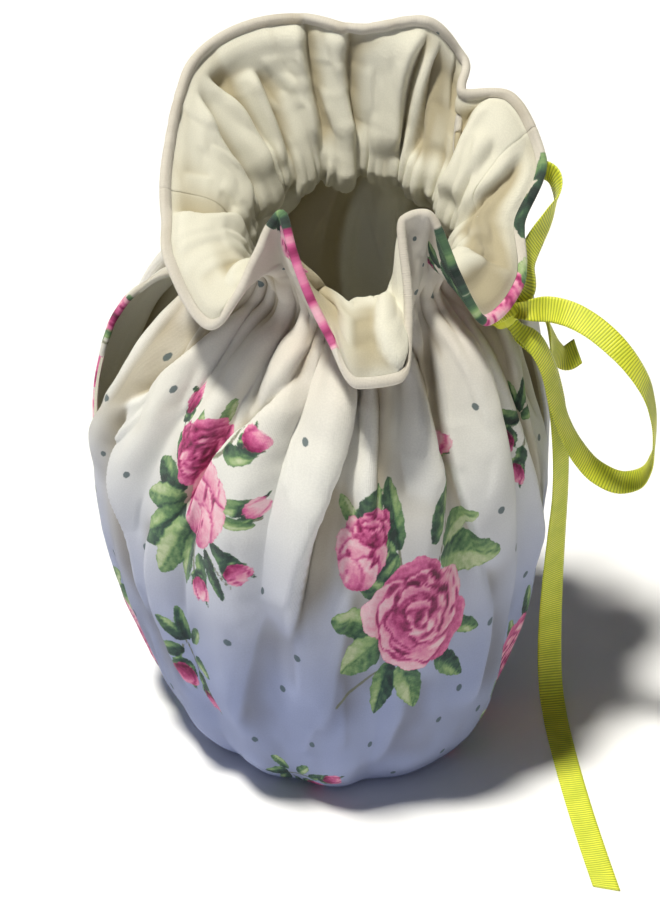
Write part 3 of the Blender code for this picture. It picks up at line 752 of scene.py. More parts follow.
class Spray:
    """A place on the flat cloth, turned and sized, in whose own millimetres a bunch is drawn."""

    def __init__(self, cover, angle, way, turn, size):
        self.cover, self.size = cover, size
        u, v = flat_u(angle), float(flat_v(np.array(way)))
        self.where = cover.near(u, v, SPRAY_REACH * size)
        x, y = (cover.u[self.where] - u) * 1000 / size, (cover.v[self.where] - v) * 1000 / size
        c, s = cos_sin(turn)
        self.x, self.y = x * c + y * s, -x * s + y * c

    def part(self, layer, field):
        self.cover.add(layer, self.where, field * self.size)

    def uncover(self, field):
        """Takes the blooms away where a leaf lies over them."""
        self.cover.cut("bloom", self.where, (field - 0.5) * self.size)

    def brush(self, layer, share, tone):
        self.cover.brush(layer, self.where, share, tone)

    def along(self, x, y, turn):
        c, s = cos_sin(turn)
        return (self.x - x) * c + (self.y - y) * s, -(self.x - x) * s + (self.y - y) * c

    def bunch(self, stems=(), leaves=(), buds=()):
        """Draws stems, leaves over them, and buds over both, one row of a table for each."""
        for draw, rows in ((self.stem, stems), (self.leaf, leaves), (self.bud, buds)):
            for row in rows:
                draw(*row)

    def stem(self, x, y, turn, length, bend):
        p, q = self.along(x, y, turn)
        t = np.clip(p / length, 0, 1)
        off = np.hypot(q - bend * 4 * t * (1 - t), np.minimum(p, 0) + np.maximum(p - length, 0))
        self.part("stem", STEM_HALF - off)

    def leaf(self, x, y, turn, length, width, tone):
        """A leaf from its foot: one half in shade and one in light, with a dark rib and a pale edge."""
        p, q = self.along(x, y, turn)
        t = np.clip(p / length, 0, 1)
        half = width / 2 * np.sin(np.pi * t**0.8) ** 0.6 * (1 + 0.05 * np.sin(p * 0.9 + x))
        ends = np.maximum(-p, p - length)
        blade = np.where(ends > 0, -ends - np.abs(q) * 0.5, np.minimum(half - np.abs(q), 3.0))
        self.uncover(blade)
        self.part("leaf", blade)
        around = eased(blade, -1.6, 0.0) * (self.cover.layers["leaf"][self.where] > 0)
        self.brush("leaf", around * 0.7, 0.92)
        inside = eased(blade, -0.3, 0.5)
        side = np.tanh(q / (0.16 * width))
        veins = 0.07 * np.sin((p - np.abs(q) * 0.9) * 1.1)
        shade = tone + 0.22 * side + veins + 0.25 * (1 - t) ** 2 - 0.14 * t
        self.brush("leaf", inside, shade)
        self.brush("leaf", inside * np.exp(-((q / 0.6) ** 2)) * 0.8, tone + 0.30)
        patch = np.exp(-(((t - 0.62) / 0.20) ** 2) - (((q + 0.20 * width) / (0.14 * width)) ** 2))
        self.brush("leaf", inside * patch * 0.9, tone - 0.50)

    def petal(self, x, y, wide, high, turn, lip, foot, ruffle=0.0):
        """A petal laid over the flower: pale at its top, which points along its turn, deep at its foot."""
        p, q = self.along(x, y, turn - 90)
        round_it = np.arctan2(q, p)
        edge = 1 + ruffle * np.sin(3.0 * round_it + x) + 0.5 * ruffle * np.sin(7.0 * round_it + y)
        whole = (edge - np.hypot(p / wide, q / high)) * min(wide, high)
        halo = np.clip(eased(whole, -1.7, -0.2), 0, 1) * (self.cover.layers["bloom"][self.where] > 0)
        self.brush("bloom", halo * 0.75, min(1.0, foot + 0.12))
        self.part("bloom", whole)
        height = np.clip(0.5 - 0.5 * q / high, 0, 1)
        tone = lip + (foot - lip) * height**1.35 + 0.07 * np.sin(2.3 * p + 1.7 * x) * height
        self.brush("bloom", eased(whole, -0.5, 0.5), tone)
        rim = eased(whole, 0.0, 0.5) * (1 - eased(whole, 0.8, 1.9)) * eased(q / high, -0.2, 0.5)
        self.brush("bloom", rim * 0.75, lip - 0.12)

    def dab(self, x, y, wide, high, turn, tone):
        """One bent stroke of the brush on the blooms."""
        p, q = self.along(x, y, turn)
        whole = (1 - np.hypot(p / wide, (q - 0.25 * p * p / wide) / high)) * min(wide, high)
        self.brush("bloom", eased(whole, -0.3, 0.7), tone)

    def rose(self, x, y, radius, squash, turn, lip, foot, seed):
        """An open rose: loose outer petals, closer inner ones round a dark heart, and deep strokes."""
        dice = np.random.default_rng(seed)
        rings = ((0.62, 0.56, 0.42, 5, 20.0), (0.44, 0.46, 0.38, 5, 58.0), (0.26, 0.36, 0.30, 4, 10.0))
        for depth, (ring, wide, high, count, offset) in enumerate(rings):
            for k in range(count):
                way = turn + offset + 360 * k / count + dice.uniform(-14, 14)
                c, s = cos_sin(way)
                grow, mood = dice.uniform(0.86, 1.18), dice.choice((-0.12, 0.0, 0.12, 0.34))
                self.petal(x + ring * radius * c, y + ring * radius * squash * s, wide * radius * grow,
                           high * radius * grow * squash**0.5, way + dice.uniform(-20, 20), lip + mood,
                           foot + 0.06 * depth + 0.5 * mood, 0.09)
        heart = ((0.13, 0.26, 0.19, 80), (0.10, 0.20, 0.15, 200), (0.06, 0.15, 0.11, 320))
        for ring, wide, high, way in heart:
            c, s = cos_sin(way + turn)
            self.petal(x + ring * radius * c, y + ring * radius * s, wide * radius, high * radius, way + turn,
                       lip + 0.10, 0.95)
        self.dab(x, y, 0.10 * radius, 0.06 * radius, turn, 1.0)
        for k in range(int(8 + radius / 1.6)):
            way, far = dice.uniform(0, 360), dice.uniform(0.25, 0.92)
            c, s = cos_sin(way)
            tone = dice.choice((1.0, 0.92, 0.82, 0.80, -0.05))
            self.dab(x + far * radius * c, y + far * radius * squash * s, dice.uniform(0.10, 0.26) * radius,
                     dice.uniform(0.04, 0.085) * radius, way + dice.uniform(50, 130), tone)

    def closed_rose(self, x, y, radius, squash, turn, lip, foot, seed):
        """A rose seen from its side: a cup of long petals that open along its turn."""
        dice = np.random.default_rng(seed)
        c, s = cos_sin(turn)
        long = radius * squash
        for ahead, aside, wide, high, tilt in (
            (0.30, 0.34, 0.50, 0.66, 14), (0.32, -0.30, 0.52, 0.64, -14), (0.38, 0.02, 0.52, 0.60, 0),
            (-0.04, 0.46, 0.46, 0.70, 22), (-0.06, -0.46, 0.48, 0.68, -24), (-0.10, 0.10, 0.62, 0.66, 6),
            (-0.34, -0.22, 0.52, 0.54, -30), (-0.40, 0.24, 0.46, 0.48, 34),
        ):
            px = x + ahead * long * c - aside * radius * s
            py = y + ahead * long * s + aside * radius * c
            grow = dice.uniform(0.92, 1.08)
            self.petal(px, py, wide * radius * grow, high * long * 0.78 * grow, turn + tilt,
                       lip + dice.uniform(-0.05, 0.18), foot + dice.uniform(-0.2, 0.1), 0.04)
        for k in range(9):
            ahead, aside = dice.uniform(-0.80, 0.40), dice.uniform(-0.65, 0.65)
            self.dab(x + ahead * long * c - aside * radius * s, y + ahead * long * s + aside * radius * c,
                     dice.uniform(0.14, 0.30) * radius, dice.uniform(0.05, 0.09) * radius,
                     turn + dice.uniform(-35, 35), dice.choice((0.96, 0.85, 0.05)))

    def bud(self, x, y, turn, length, tone):
        """A half-open bud that points along its turn, in a cup of dark sepals."""
        c, s = cos_sin(turn)
        for tilt, reach in ((46, 0.62), (-44, 0.66), (14, 1.16)):
            self.leaf(x, y, turn + tilt, reach * length, 0.24 * length, 0.72)
        for aside, tilt in ((0.15, 20), (-0.16, -20), (0.0, 0)):
            px, py = x + 0.52 * length * c - aside * length * s, y + 0.52 * length * s + aside * length * c
            self.petal(px, py, 0.26 * length, 0.40 * length, turn + tilt, tone - 0.42, tone + 0.32)
        foot_x, foot_y = x - 0.06 * length * c, y - 0.06 * length * s
        for tilt in (58, -60):
            self.leaf(foot_x, foot_y, turn + tilt, 0.46 * length, 0.20 * length, 0.60)


# The bunches, in millimetres from their middles. A stem has its foot, turn, length and bend, a leaf its foot,
# turn, length, width and tone, and a bud its foot, turn, length and tone.
def large_spray(spray):
    """A tall half-closed rose beside a wide open one, with leaves on three sides and two small buds."""
    spray.bunch(
        stems=((-24, 24, 60, 30, 2), (10, 24, 74, 42, -2), (-20, -28, 215, 32, -2), (-8, 20, 95, 34, 1)),
        leaves=((-34, 48, 128, 15, 8, 0.22), (-30, 44, 70, 26, 13, 0.62), (-10, 34, 100, 36, 11, 0.70),
                (8, 34, 74, 30, 9, 0.55), (14, 46, 52, 22, 10, 0.34), (12, 26, -14, 40, 19, 0.40),
                (14, 32, 16, 26, 12, 0.28), (-14, 18, 108, 28, 15, 0.66), (-18, 12, 140, 22, 12, 0.50),
                (-20, -4, 168, 27, 17, 0.50), (-20, -10, 218, 29, 17, 0.36), (-14, -24, 250, 30, 14, 0.66),
                (-8, -24, 286, 30, 15, 0.44), (10, -24, 318, 26, 12, 0.70), (22, -12, 338, 18, 9, 0.52),
                (-24, 22, 40, 16, 9, 0.74)),
        buds=((21, 64, 62, 16, 0.45), (-22, 30, 108, 20, 0.85)))
    spray.closed_rose(-31, 32, 13, 1.7, 78, 0.02, 0.82, 5)
    spray.closed_rose(-24, 47, 9, 1.25, 70, 0.40, 1.0, 8)
    spray.rose(0, 0, 27.0, 1.06, 15, 0.16, 0.74, 3)


def medium_spray(spray):
    """A pale rose seen from its side over a deep one, in a dense bunch of leaves and small buds."""
    spray.bunch(
        stems=((-14, 18, 136, 30, 2), (4, 22, 62, 24, -2), (12, 0, 15, 20, 1), (6, -14, 318, 22, 1),
               (0, -16, 276, 22, -1)),
        leaves=((-16, 4, 168, 26, 14, 0.80), (-15, 0, 196, 28, 13, 0.42), (-13, -6, 222, 32, 16, 0.66),
                (-10, -10, 244, 32, 15, 0.40), (-5, -14, 262, 28, 12, 0.56), (-18, 16, 150, 18, 9, 0.58),
                (-18, 26, 104, 15, 6, 0.34), (-10, 34, 96, 15, 6, 0.30), (8, -16, 300, 24, 7, 0.92),
                (12, -10, 328, 22, 8, 0.72), (14, 8, 24, 18, 7, 0.26), (14, 4, -6, 16, 6, 0.34),
                (10, 28, 30, 16, 8, 0.50), (4, -20, 282, 18, 8, 0.44)),
        buds=((-33, 31, 122, 17, 0.78), (-24, 24, 140, 10, 0.90), (19, 36, 66, 12, 0.72),
              (24, 7, 40, 12, 0.22), (20, -17, 318, 13, 0.62), (3, -30, 284, 14, 0.58)))
    spray.rose(-13, 22, 14.5, 1.08, 20, 0.38, 0.92, 11)
    spray.closed_rose(2, 1, 16.5, 1.45, 74, -0.05, 0.80, 7)


def small_spray(spray):
    """Two dark buds that hang from a tuft of leaves."""
    spray.bunch(
        stems=((0, 6, 290, 26, 1), (-4, 6, 262, 18, -1), (0, 6, 110, 14, 1)),
        leaves=((-2, 10, 156, 17, 9, 0.62), (0, 10, 112, 18, 8, 0.74), (3, 9, 60, 15, 7, 0.50),
                (-4, 4, 205, 16, 8, 0.70), (4, 2, 330, 14, 7, 0.44), (-2, -4, 236, 15, 8, 0.66),
                (5, -6, 300, 16, 7, 0.56)),
        buds=((-4, -3, 264, 16, 0.85), (8, -15, 292, 15, 0.78)))


def corner_spray(spray):
    """One deep rose with leaves on two sides."""
    spray.bunch(
        leaves=((-12, 8, 120, 26, 13, 0.50), (-14, 2, 158, 24, 12, 0.70), (-4, 14, 88, 22, 12, 0.36),
                (12, -6, -22, 26, 13, 0.46), (8, -12, -58, 24, 12, 0.62), (14, 4, 18, 20, 9, 0.34)))
    spray.rose(0, 0, 19.0, 1.15, 30, 0.14, 0.86, 17)


# Where the print's sprays lie. The seams cut through some, as they do in cloth cut from a printed length.
FRONT_SPRAYS = (
    # spray, angle, way, turn, size
    (medium_spray, -34, 0.640, 0, 1.0),
    (large_spray, 24, 0.470, 0, 1.0),
    (small_spray, -42, 0.325, -8, 1.0),
    (small_spray, -12, 0.09, 74, 1.0),
    (small_spray, 69, 0.700, -50, 0.9),
    (corner_spray, -14, 1.76, -20, 1.0),
    (corner_spray, 60, 1.86, 10, 0.9),
    (small_spray, 47, 1.80, 0, 0.9),
    (large_spray, 74, 0.20, 150, 0.8),
    (large_spray, -84, 0.22, 25, 0.7),
    (small_spray, 82, 1.80, 0, 1.0),
    (small_spray, -70, 1.60, 60, 0.8),
)
BACK_SPRAYS = (
    # spray, angle, way, turn, size
    (large_spray, 166, 0.52, 10, 0.9),
    (medium_spray, 116, 0.38, -20, 0.9),
    (medium_spray, 222, 0.42, 15, 0.9),
    (large_spray, 262, 0.62, -60, 0.7),
    (small_spray, 194, 0.16, 0, 1.0),
    (small_spray, 136, 0.80, 20, 0.9),
    (small_spray, 104, 0.74, -35, 0.8),
    (small_spray, 208, 0.82, -20, 0.9),
    (medium_spray, 150, 1.42, 160, 0.7),
    (small_spray, 196, 1.50, -20, 0.9),
    (medium_spray, 238, 1.44, 90, 0.7),
)

# The dots lie on a slanting lattice, each a little out of place, and leave out the sprays and the deep folds.
DOT_SPACING = 0.0375
DOT_ROW_SPACING = 0.72 * DOT_SPACING
DOT_RADIUS = 0.0019
DOT_STRAY = 0.0060
DOT_SHIFT = 0.012
DOT_REACH = 0.006
DOT_CLEAR = 0.8
DOT_DEEPEST = 0.9
DOT_SEED = 21


def scatter_dots(cover):
    dice = np.random.default_rng(DOT_SEED)
    for row in range(-2, 14):
        for place in range(-10, 18):
            stray = dice.uniform(-DOT_STRAY, DOT_STRAY, 2)
            u = (place + 0.5 * (row % 2)) * DOT_SPACING + stray[0] - DOT_SHIFT
            v = row * DOT_ROW_SPACING + stray[1]
            where = cover.near(u, v, DOT_REACH)
            if not len(where[0]):
                continue
            taken = max(cover.layers[name][where].max() for name in ("leaf", "bloom", "stem"))
            if taken < -DOT_CLEAR and cover.deep[where].max() < DOT_DEEPEST:
                field = (DOT_RADIUS - np.hypot(cover.u[where] - u, cover.v[where] - v)) * 1000
                cover.add("dot", where, field)


def printed(angle, way, sprays):
    cover = Print(flat_u(angle), flat_v(way), hollow(angle, way, 1))
    for draw, at_angle, at_way, turn, size in sprays:
        draw(Spray(cover, at_angle, at_way, turn, size))
    scatter_dots(cover)
    return cover


# Colours as they look in the photo's light, as linear red, green and blue
OFF_WHITE = (0.82, 0.81, 0.74)
# Painted bluish shade: the print's ground runs from the off-white to this darker blue between these two
# heights up the cloth, darker towards the hem where the underside turns from the light.
OFF_WHITE_IN_PAINTED_BLUE_SHADE = (0.33, 0.38, 0.58)
PAINTED_LOW_SHADE_FULL_BELOW = 0.07
PAINTED_LOW_SHADE_GONE_ABOVE = 0.21
CREAM = (0.80, 0.775, 0.64)
# Painted shade in the folds: multiplied into the cloth by how deep it lies in a fold.
FOLD_PAINTED_SHADE_TINT = (0.62, 0.56, 0.45)
# Painted shade under the frill: the print's ground is mixed towards this brown from this height up to the
# neck.
NECK_PAINTED_SHADE_COLOUR = (0.55, 0.48, 0.38)
NECK_PAINTED_SHADE_START = 0.19
STEM_COLOUR = (0.16, 0.17, 0.09)
DOT_COLOUR = (0.060, 0.105, 0.115)
BLOOM_TONES = (
    # tone, colour
    (0.00, (0.86, 0.58, 0.63)),
    (0.25, (0.82, 0.36, 0.48)),
    (0.50, (0.68, 0.145, 0.33)),
    (0.75, (0.42, 0.040, 0.165)),
    (1.00, (0.13, 0.010, 0.045)),
)
LEAF_TONES = (
    (0.00, (0.56, 0.63, 0.38)),
    (0.28, (0.30, 0.44, 0.18)),
    (0.55, (0.105, 0.220, 0.090)),
    (0.80, (0.030, 0.080, 0.050)),
    (1.00, (0.014, 0.030, 0.026)),
)
RIBBON_GREEN = (0.82, 0.84, 0.060)
RIBBON_GREEN_DEEP = (0.66, 0.72, 0.045)
# Painted shade in the grooves between the ribbon's ribs.
RIBBON_GROOVE_PAINTED_SHADE = (0.36, 0.42, 0.018)


class Graph:
    """Short calls for making a material's nodes."""

    def __init__(self, name):
        self.material = bpy.data.materials.new(name)
        self.material.use_nodes = True
        self.tree = self.material.node_tree
        self.shader = self.tree.nodes["Principled BSDF"]

    def node(self, kind, settings=(), **inputs):
        made = self.tree.nodes.new(kind)
        for key, value in settings:
            setattr(made, key, value)
        for key, value in inputs.items():
            self.feed(made.inputs[key.replace("_", " ")], value)
        return made

    def feed(self, socket, value):
        if isinstance(value, bpy.types.NodeSocket):
            self.tree.links.new(value, socket)
        elif hasattr(value, "__len__") and len(value) == 3 and socket.type == "RGBA":
            socket.default_value = (*value, 1.0)
        else:
            socket.default_value = value

    def maths(self, operation, first, second=0.0):
        made = self.tree.nodes.new("ShaderNodeMath")
        made.operation = operation
        self.feed(made.inputs[0], first)
        self.feed(made.inputs[1], second)
        return made.outputs[0]

    def mixed(self, share, first, second, blend="MIX"):
        made = self.tree.nodes.new("ShaderNodeMix")
        made.data_type, made.blend_type = "RGBA", blend
        self.feed(made.inputs[0], share)
        self.feed(made.inputs[6], first)
        self.feed(made.inputs[7], second)
        return made.outputs[2]

    def stepped(self, value, low, high, to_low=0.0, to_high=1.0):
        made = self.tree.nodes.new("ShaderNodeMapRange")
        made.interpolation_type = "SMOOTHSTEP"
        self.feed(made.inputs[0], value)
        for place, number in enumerate((low, high, to_low, to_high), start=1):
            made.inputs[place].default_value = number
        return made.outputs[0]

    def ramp(self, value, tones):
        """A colour for each value, from a list of tones and their colours."""
        made = self.tree.nodes.new("ShaderNodeValToRGB")
        self.feed(made.inputs[0], value)
        stops = made.color_ramp.elements
        for place, (tone, colour) in enumerate(tones):
            stop = stops[place] if place < 2 else stops.new(tone)
            stop.position, stop.color = tone, (*colour, 1.0)
        return made.outputs["Color"]

    def noise(self, where, scale, detail=2.0, roughness=0.55):
        made = self.node("ShaderNodeTexNoise", Vector=where, Scale=scale, Detail=detail, Roughness=roughness)
        return made.outputs["Fac"]

    def field(self, name):
        made = self.tree.nodes.new("ShaderNodeAttribute")
        made.attribute_name = name
        return made.outputs["Fac"]

    def threads(self, where, axis, pitch):
        """Woven threads that run across one axis of the cloth, as a height."""
        made = self.node("ShaderNodeTexWave", (("bands_direction", axis),), Vector=where)
        made.inputs["Scale"].default_value = 1 / (pitch * 3.2)
        made.inputs["Distortion"].default_value = 0.6
        made.inputs["Detail"].default_value = 1.0
        made.inputs["Detail Scale"].default_value = 2.0
        return made.outputs["Fac"]


THREAD_PITCH = 0.00048


def woven_bump(graph, where, strength):
    """The bump of a plain weave with slubs and a faint crumple."""
    warp = graph.threads(where, "X", THREAD_PITCH)
    weft = graph.threads(where, "Y", THREAD_PITCH)
    slub = graph.noise(where, 900.0, 2.0)
    crumple = graph.noise(where, 150.0, 4.0, 0.6)
    height = graph.maths("ADD", graph.maths("MULTIPLY", warp, weft), graph.maths("MULTIPLY", slub, 0.8))
    height = graph.maths("ADD", height, graph.maths("MULTIPLY", crumple, 0.9))
    bump = graph.node("ShaderNodeBump", Height=height, Strength=strength, Distance=0.00035)
    return bump.outputs["Normal"]


# How strongly each layer of the print covers, and how far its edges wander
PRINT_INKS = (
    # layer, colour or tones, strength, wander
    ("stem", STEM_COLOUR, 0.85, 0.30),
    ("leaf", LEAF_TONES, 0.96, 1.0),
    ("bloom", BLOOM_TONES, 0.97, 1.0),
    ("dot", DOT_COLOUR, 0.86, 0.25),
)
EDGE_WANDER = 2.2
TONE_BLOTS = 0.75
INK_EDGE = 0.30
# How strongly the painted shade under the frill is mixed in at the neck.
NECK_PAINTED_SHADE_STRENGTH = 0.55
COTTON_SHEEN = 0.12


def over_print(graph, where, ground):
    """The printed layers over the ground, with edges that wander and tones that blot a little."""

    def swing(scale, detail, roughness, height):
        noise = graph.noise(where, scale, detail, roughness)
        return graph.maths("MULTIPLY", graph.maths("SUBTRACT", noise, 0.5), height)

    wander = swing(420.0, 3.0, 0.6, EDGE_WANDER)
    blot = swing(260.0, 4.0, 0.65, TONE_BLOTS)
    for layer, colours, strong, loose in PRINT_INKS:
        edge = graph.maths("ADD", graph.field(layer), graph.maths("MULTIPLY", wander, loose))
        share = graph.stepped(edge, -INK_EDGE, INK_EDGE, 0.0, strong)
        if layer in ("leaf", "bloom"):
            colours = graph.ramp(graph.maths("ADD", graph.field(f"{layer}_tone"), blot), colours)
        ground = graph.mixed(share, ground, colours)
    return ground


def cotton(name, colour, low_colour, with_print=False):
    """Matte woven cotton with the print over its ground. The ground has painted shade in its folds, runs to
    low_colour towards the hem as painted shade, and with the print also has a painted brown shade under the
    frill.
    """
    graph = Graph(name)
    where = graph.node("ShaderNodeUVMap", (("uv_map", "cloth"),)).outputs["UV"]
    height = graph.node("ShaderNodeSeparateXYZ", Vector=where).outputs["Y"]
    # Painted shade: the ground runs to low_colour towards the hem, a darker bluish colour on the print.
    ground = graph.mixed(graph.stepped(height, PAINTED_LOW_SHADE_FULL_BELOW, PAINTED_LOW_SHADE_GONE_ABOVE), low_colour, colour)
    if with_print:
        # Painted shade under the frill, growing up the body to the neck.
        neck = graph.stepped(height, NECK_PAINTED_SHADE_START, BODY_LENGTH, 0.0, NECK_PAINTED_SHADE_STRENGTH)
        ground = graph.mixed(neck, ground, NECK_PAINTED_SHADE_COLOUR)
    # Painted shade in the folds: the cloth is darkened by how deep it lies in a fold.
    ground = graph.mixed(graph.stepped(graph.field("hollow"), 0.0, 1.0), ground, FOLD_PAINTED_SHADE_TINT, "MULTIPLY")
    if with_print:
        ground = over_print(graph, where, ground)
    fleck = graph.stepped(graph.noise(where, 1300.0, 1.0), 0.40, 0.62, 0.955, 1.0)
    fleck = graph.node("ShaderNodeCombineColor", Red=fleck, Green=fleck, Blue=fleck).outputs["Color"]
    graph.feed(graph.shader.inputs["Base Color"], graph.mixed(1.0, ground, fleck, "MULTIPLY"))
    graph.feed(graph.shader.inputs["Normal"], woven_bump(graph, where, 0.5))
    wash = graph.noise(where, 120.0, 3.0, 0.6)
    graph.feed(graph.shader.inputs["Roughness"], graph.stepped(wash, 0.2, 0.8, 0.80, 0.92))
    graph.shader.inputs["Specular IOR Level"].default_value = 0.25
    graph.shader.inputs["Sheen Weight"].default_value = COTTON_SHEEN
    graph.shader.inputs["Sheen Roughness"].default_value = 0.45
    return graph.material


def grosgrain():
    """Ribbed ribbon: the ribs are modelled, and the material adds their fine threads, a low lustre and
    painted shade in the grooves between them.
    """
    graph = Graph("green_grosgrain_look")
    where = graph.node("ShaderNodeUVMap", (("uv_map", "cloth"),)).outputs["UV"]
    fine = graph.threads(where, "X", 0.00030)
    cloud = graph.noise(where, 90.0, 3.0)
    colour = graph.mixed(graph.stepped(cloud, 0.35, 0.7), RIBBON_GREEN, RIBBON_GREEN_DEEP)
    # Painted shade in the grooves between the modelled ribs.
    groove = graph.stepped(graph.field("rib"), 0.05, 0.75, 0.0, 1.0)
    colour = graph.mixed(groove, RIBBON_GROOVE_PAINTED_SHADE, colour)
    graph.feed(graph.shader.inputs["Base Color"], colour)
    bump = graph.node("ShaderNodeBump", Height=fine, Strength=0.35, Distance=0.0001)
    graph.feed(graph.shader.inputs["Normal"], bump.outputs["Normal"])
    graph.feed(graph.shader.inputs["Roughness"], graph.stepped(cloud, 0.2, 0.8, 0.42, 0.55))
    graph.shader.inputs["Sheen Weight"].default_value = 0.25
    graph.shader.inputs["Sheen Roughness"].default_value = 0.35
    return graph.material


# The bow: its knot on the right shoulder, and the ribbon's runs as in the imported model
KNOT_ANGLE = 72
KNOT_WAY = 0.90
KNOT_HALF_SIZES = (0.0075, 0.0068, 0.0055)
KNOT_SQUARENESS = 0.7
KNOT_SUNK = 0.0009
RIBBON_STEP = 0.0040
RIBBON_LEAVES = {
    "loop_top": (0.93, -0.30, 0.20),
    "loop_foot": (0.70, -0.35, -0.62),
    "back_loop_top": (0.80, 0.40, 0.45),
    "back_loop_foot": (0.38, 0.78, 0.55),
    "long_tail": (0.50, -0.10, -0.86),
    "short_tail": (0.60, 0.72, -0.32),
}
RIBBON_LOOP = (
    # x, y, z, face x, face y, face z
    (0.0840, -0.0250, 0.2130, 0.15, -0.85, 0.50),
    (0.0915, -0.0300, 0.2145, 0.20, -0.80, 0.55),
    (0.1000, -0.0370, 0.2140, 0.25, -0.70, 0.65),
    (0.1084, -0.0440, 0.2105, 0.35, -0.60, 0.70),
    (0.1155, -0.0490, 0.2045, 0.55, -0.45, 0.70),
    (0.1218, -0.0510, 0.1945, 0.75, -0.35, 0.50),
    (0.1258, -0.0490, 0.1800, 0.90, -0.25, 0.25),
    (0.1277, -0.0440, 0.1620, 1.00, -0.15, 0.00),
    (0.1275, -0.0380, 0.1455, 1.00, 0.00, -0.25),
    (0.1235, -0.0330, 0.1333, 0.70, 0.20, -0.70),
    (0.1155, -0.0290, 0.1285, 0.20, 0.40, -0.90),
    (0.1068, -0.0270, 0.1322, -0.30, 0.50, -0.80),
    (0.0990, -0.0275, 0.1426, -0.60, 0.50, -0.55),
    (0.0930, -0.0290, 0.1562, -0.80, 0.45, -0.35),
    (0.0885, -0.0300, 0.1717, -0.80, 0.50, -0.25),
    (0.0840, -0.0300, 0.1900, -0.75, 0.50, -0.40),
    (0.0775, -0.0295, 0.2020, -0.65, 0.50, -0.60),
)
RIBBON_BACK_LOOP = (
    # x, y, z, face x, face y, face z
    (0.0755, -0.0080, 0.2240, 0.60, -0.60, 0.40),
    (0.0800, 0.0020, 0.2285, 0.75, -0.50, 0.30),
    (0.0850, 0.0100, 0.2330, 0.90, -0.35, 0.10),
    (0.0890, 0.0190, 0.2375, 0.95, 0.20, -0.10),
    (0.0870, 0.0270, 0.2425, 0.50, 0.85, 0.10),
    (0.0810, 0.0300, 0.2430, -0.30, 0.90, 0.20),
    (0.0745, 0.0270, 0.2380, -0.75, 0.60, 0.20),
    (0.0710, 0.0180, 0.2310, -0.85, 0.40, 0.10),
    (0.0695, 0.0030, 0.2240, -0.85, 0.45, 0.10),
    (0.0695, -0.0100, 0.2190, -0.85, 0.45, 0.10),
)
RIBBON_LONG_TAIL = (
    # x, y, z, face x, face y, face z
    (0.0760, -0.0255, 0.1990, 0.65, -0.45, 0.60),
    (0.0835, -0.0215, 0.1860, 0.75, -0.50, 0.40),
    (0.0885, -0.0215, 0.1680, 0.75, -0.60, 0.25),
    (0.0915, -0.0215, 0.1450, 0.75, -0.65, 0.10),
    (0.0925, -0.0210, 0.1200, 0.75, -0.65, 0.00),
    (0.0920, -0.0190, 0.0950, 0.65, -0.75, 0.00),
    (0.0915, -0.0160, 0.0680, 0.50, -0.85, 0.00),
    (0.0915, -0.0130, 0.0400, 0.30, -0.95, 0.00),
    (0.0920, -0.0120, 0.0200, 0.15, -0.95, 0.05),
    (0.0926, -0.0145, 0.0085, 0.08, -0.80, 0.50),
    (0.0932, -0.0195, 0.0030, 0.02, -0.45, 0.90),
    (0.0940, -0.0265, 0.0010, 0.00, -0.10, 1.00),
    (0.0946, -0.0340, 0.0006, 0.00, 0.00, 1.00),
    (0.0955, -0.0420, 0.0005, 0.00, 0.00, 1.00),
    (0.0985, -0.0650, 0.0005, 0.00, 0.00, 1.00),
    (0.1020, -0.0880, 0.0005, 0.00, 0.00, 1.00),
    (0.1060, -0.1110, 0.0005, 0.00, 0.00, 1.00),
    (0.1105, -0.1350, 0.0005, 0.00, 0.00, 1.00),
)
RIBBON_SHORT_TAIL = (
    # x, y, z, face x, face y, face z
    (0.0800, -0.0110, 0.2040, 0.30, 0.10, 0.80),
    (0.0850, -0.0040, 0.1920, 0.80, 0.00, 0.60),
    (0.0875, 0.0010, 0.1800, 0.90, -0.20, 0.40),
    (0.0905, 0.0050, 0.1690, 0.70, -0.50, 0.50),
    (0.0950, 0.0095, 0.1630, 0.30, -0.60, 0.75),
    (0.1000, 0.0140, 0.1635, -0.20, -0.70, 0.70),
)
RIB_PITCH = 0.00125
RIB_HEIGHT = 0.00022
RIB_ROWS = 4
RIBBON_BODY = 0.00050
RIBBON_ACROSS = 9
PINCH_LENGTH = 0.0075
PINCH = 0.42
END_SLANT = 0.45
END_LENGTH = 0.012
RIBBON_TUCK = 0.002
RIBBON_SMOOTHING = 40 // (4 // RIB_ROWS) ** 2
RIB_NOTCH = 0.0001


def knot_frame():
    """The knot's centre, and its directions down the shoulder, back along it and out of it."""
    turn, step, way = KNOT_ANGLE, SMALL_TURN, KNOT_WAY
    angles = np.array([[turn - step, turn + step], [turn - step, turn + step]])
    ways = np.array([[way - SMALL_WAY] * 2, [way + SMALL_WAY] * 2])
    corners = cloth_point(angles, ways, "front")
    across = corners[:, 1].mean(axis=0) - corners[:, 0].mean(axis=0)
    upwards = corners[1].mean(axis=0) - corners[0].mean(axis=0)
    out = unit(np.cross(across, upwards))
    back = unit(across)
    shoulder = corners.reshape(-1, 3).mean(axis=0) + out * (PIECE_GAP / 2 + PRINT_THICKNESS)
    centre = shoulder + out * (KNOT_HALF_SIZES[2] - KNOT_SUNK)
    return centre, np.array([unit(np.cross(back, out)), back, out])


def ribbon_start(name):
    """Where a run of ribbon goes into the knot, and the direction in which it leaves."""
    centre, axes = knot_frame()
    leaves = unit(RIBBON_LEAVES[name])
    shares = np.abs(axes @ leaves) / KNOT_HALF_SIZES
    reach = np.sum(shares ** (2 / KNOT_SQUARENESS)) ** (-KNOT_SQUARENESS / 2)
    return centre + leaves * reach, leaves


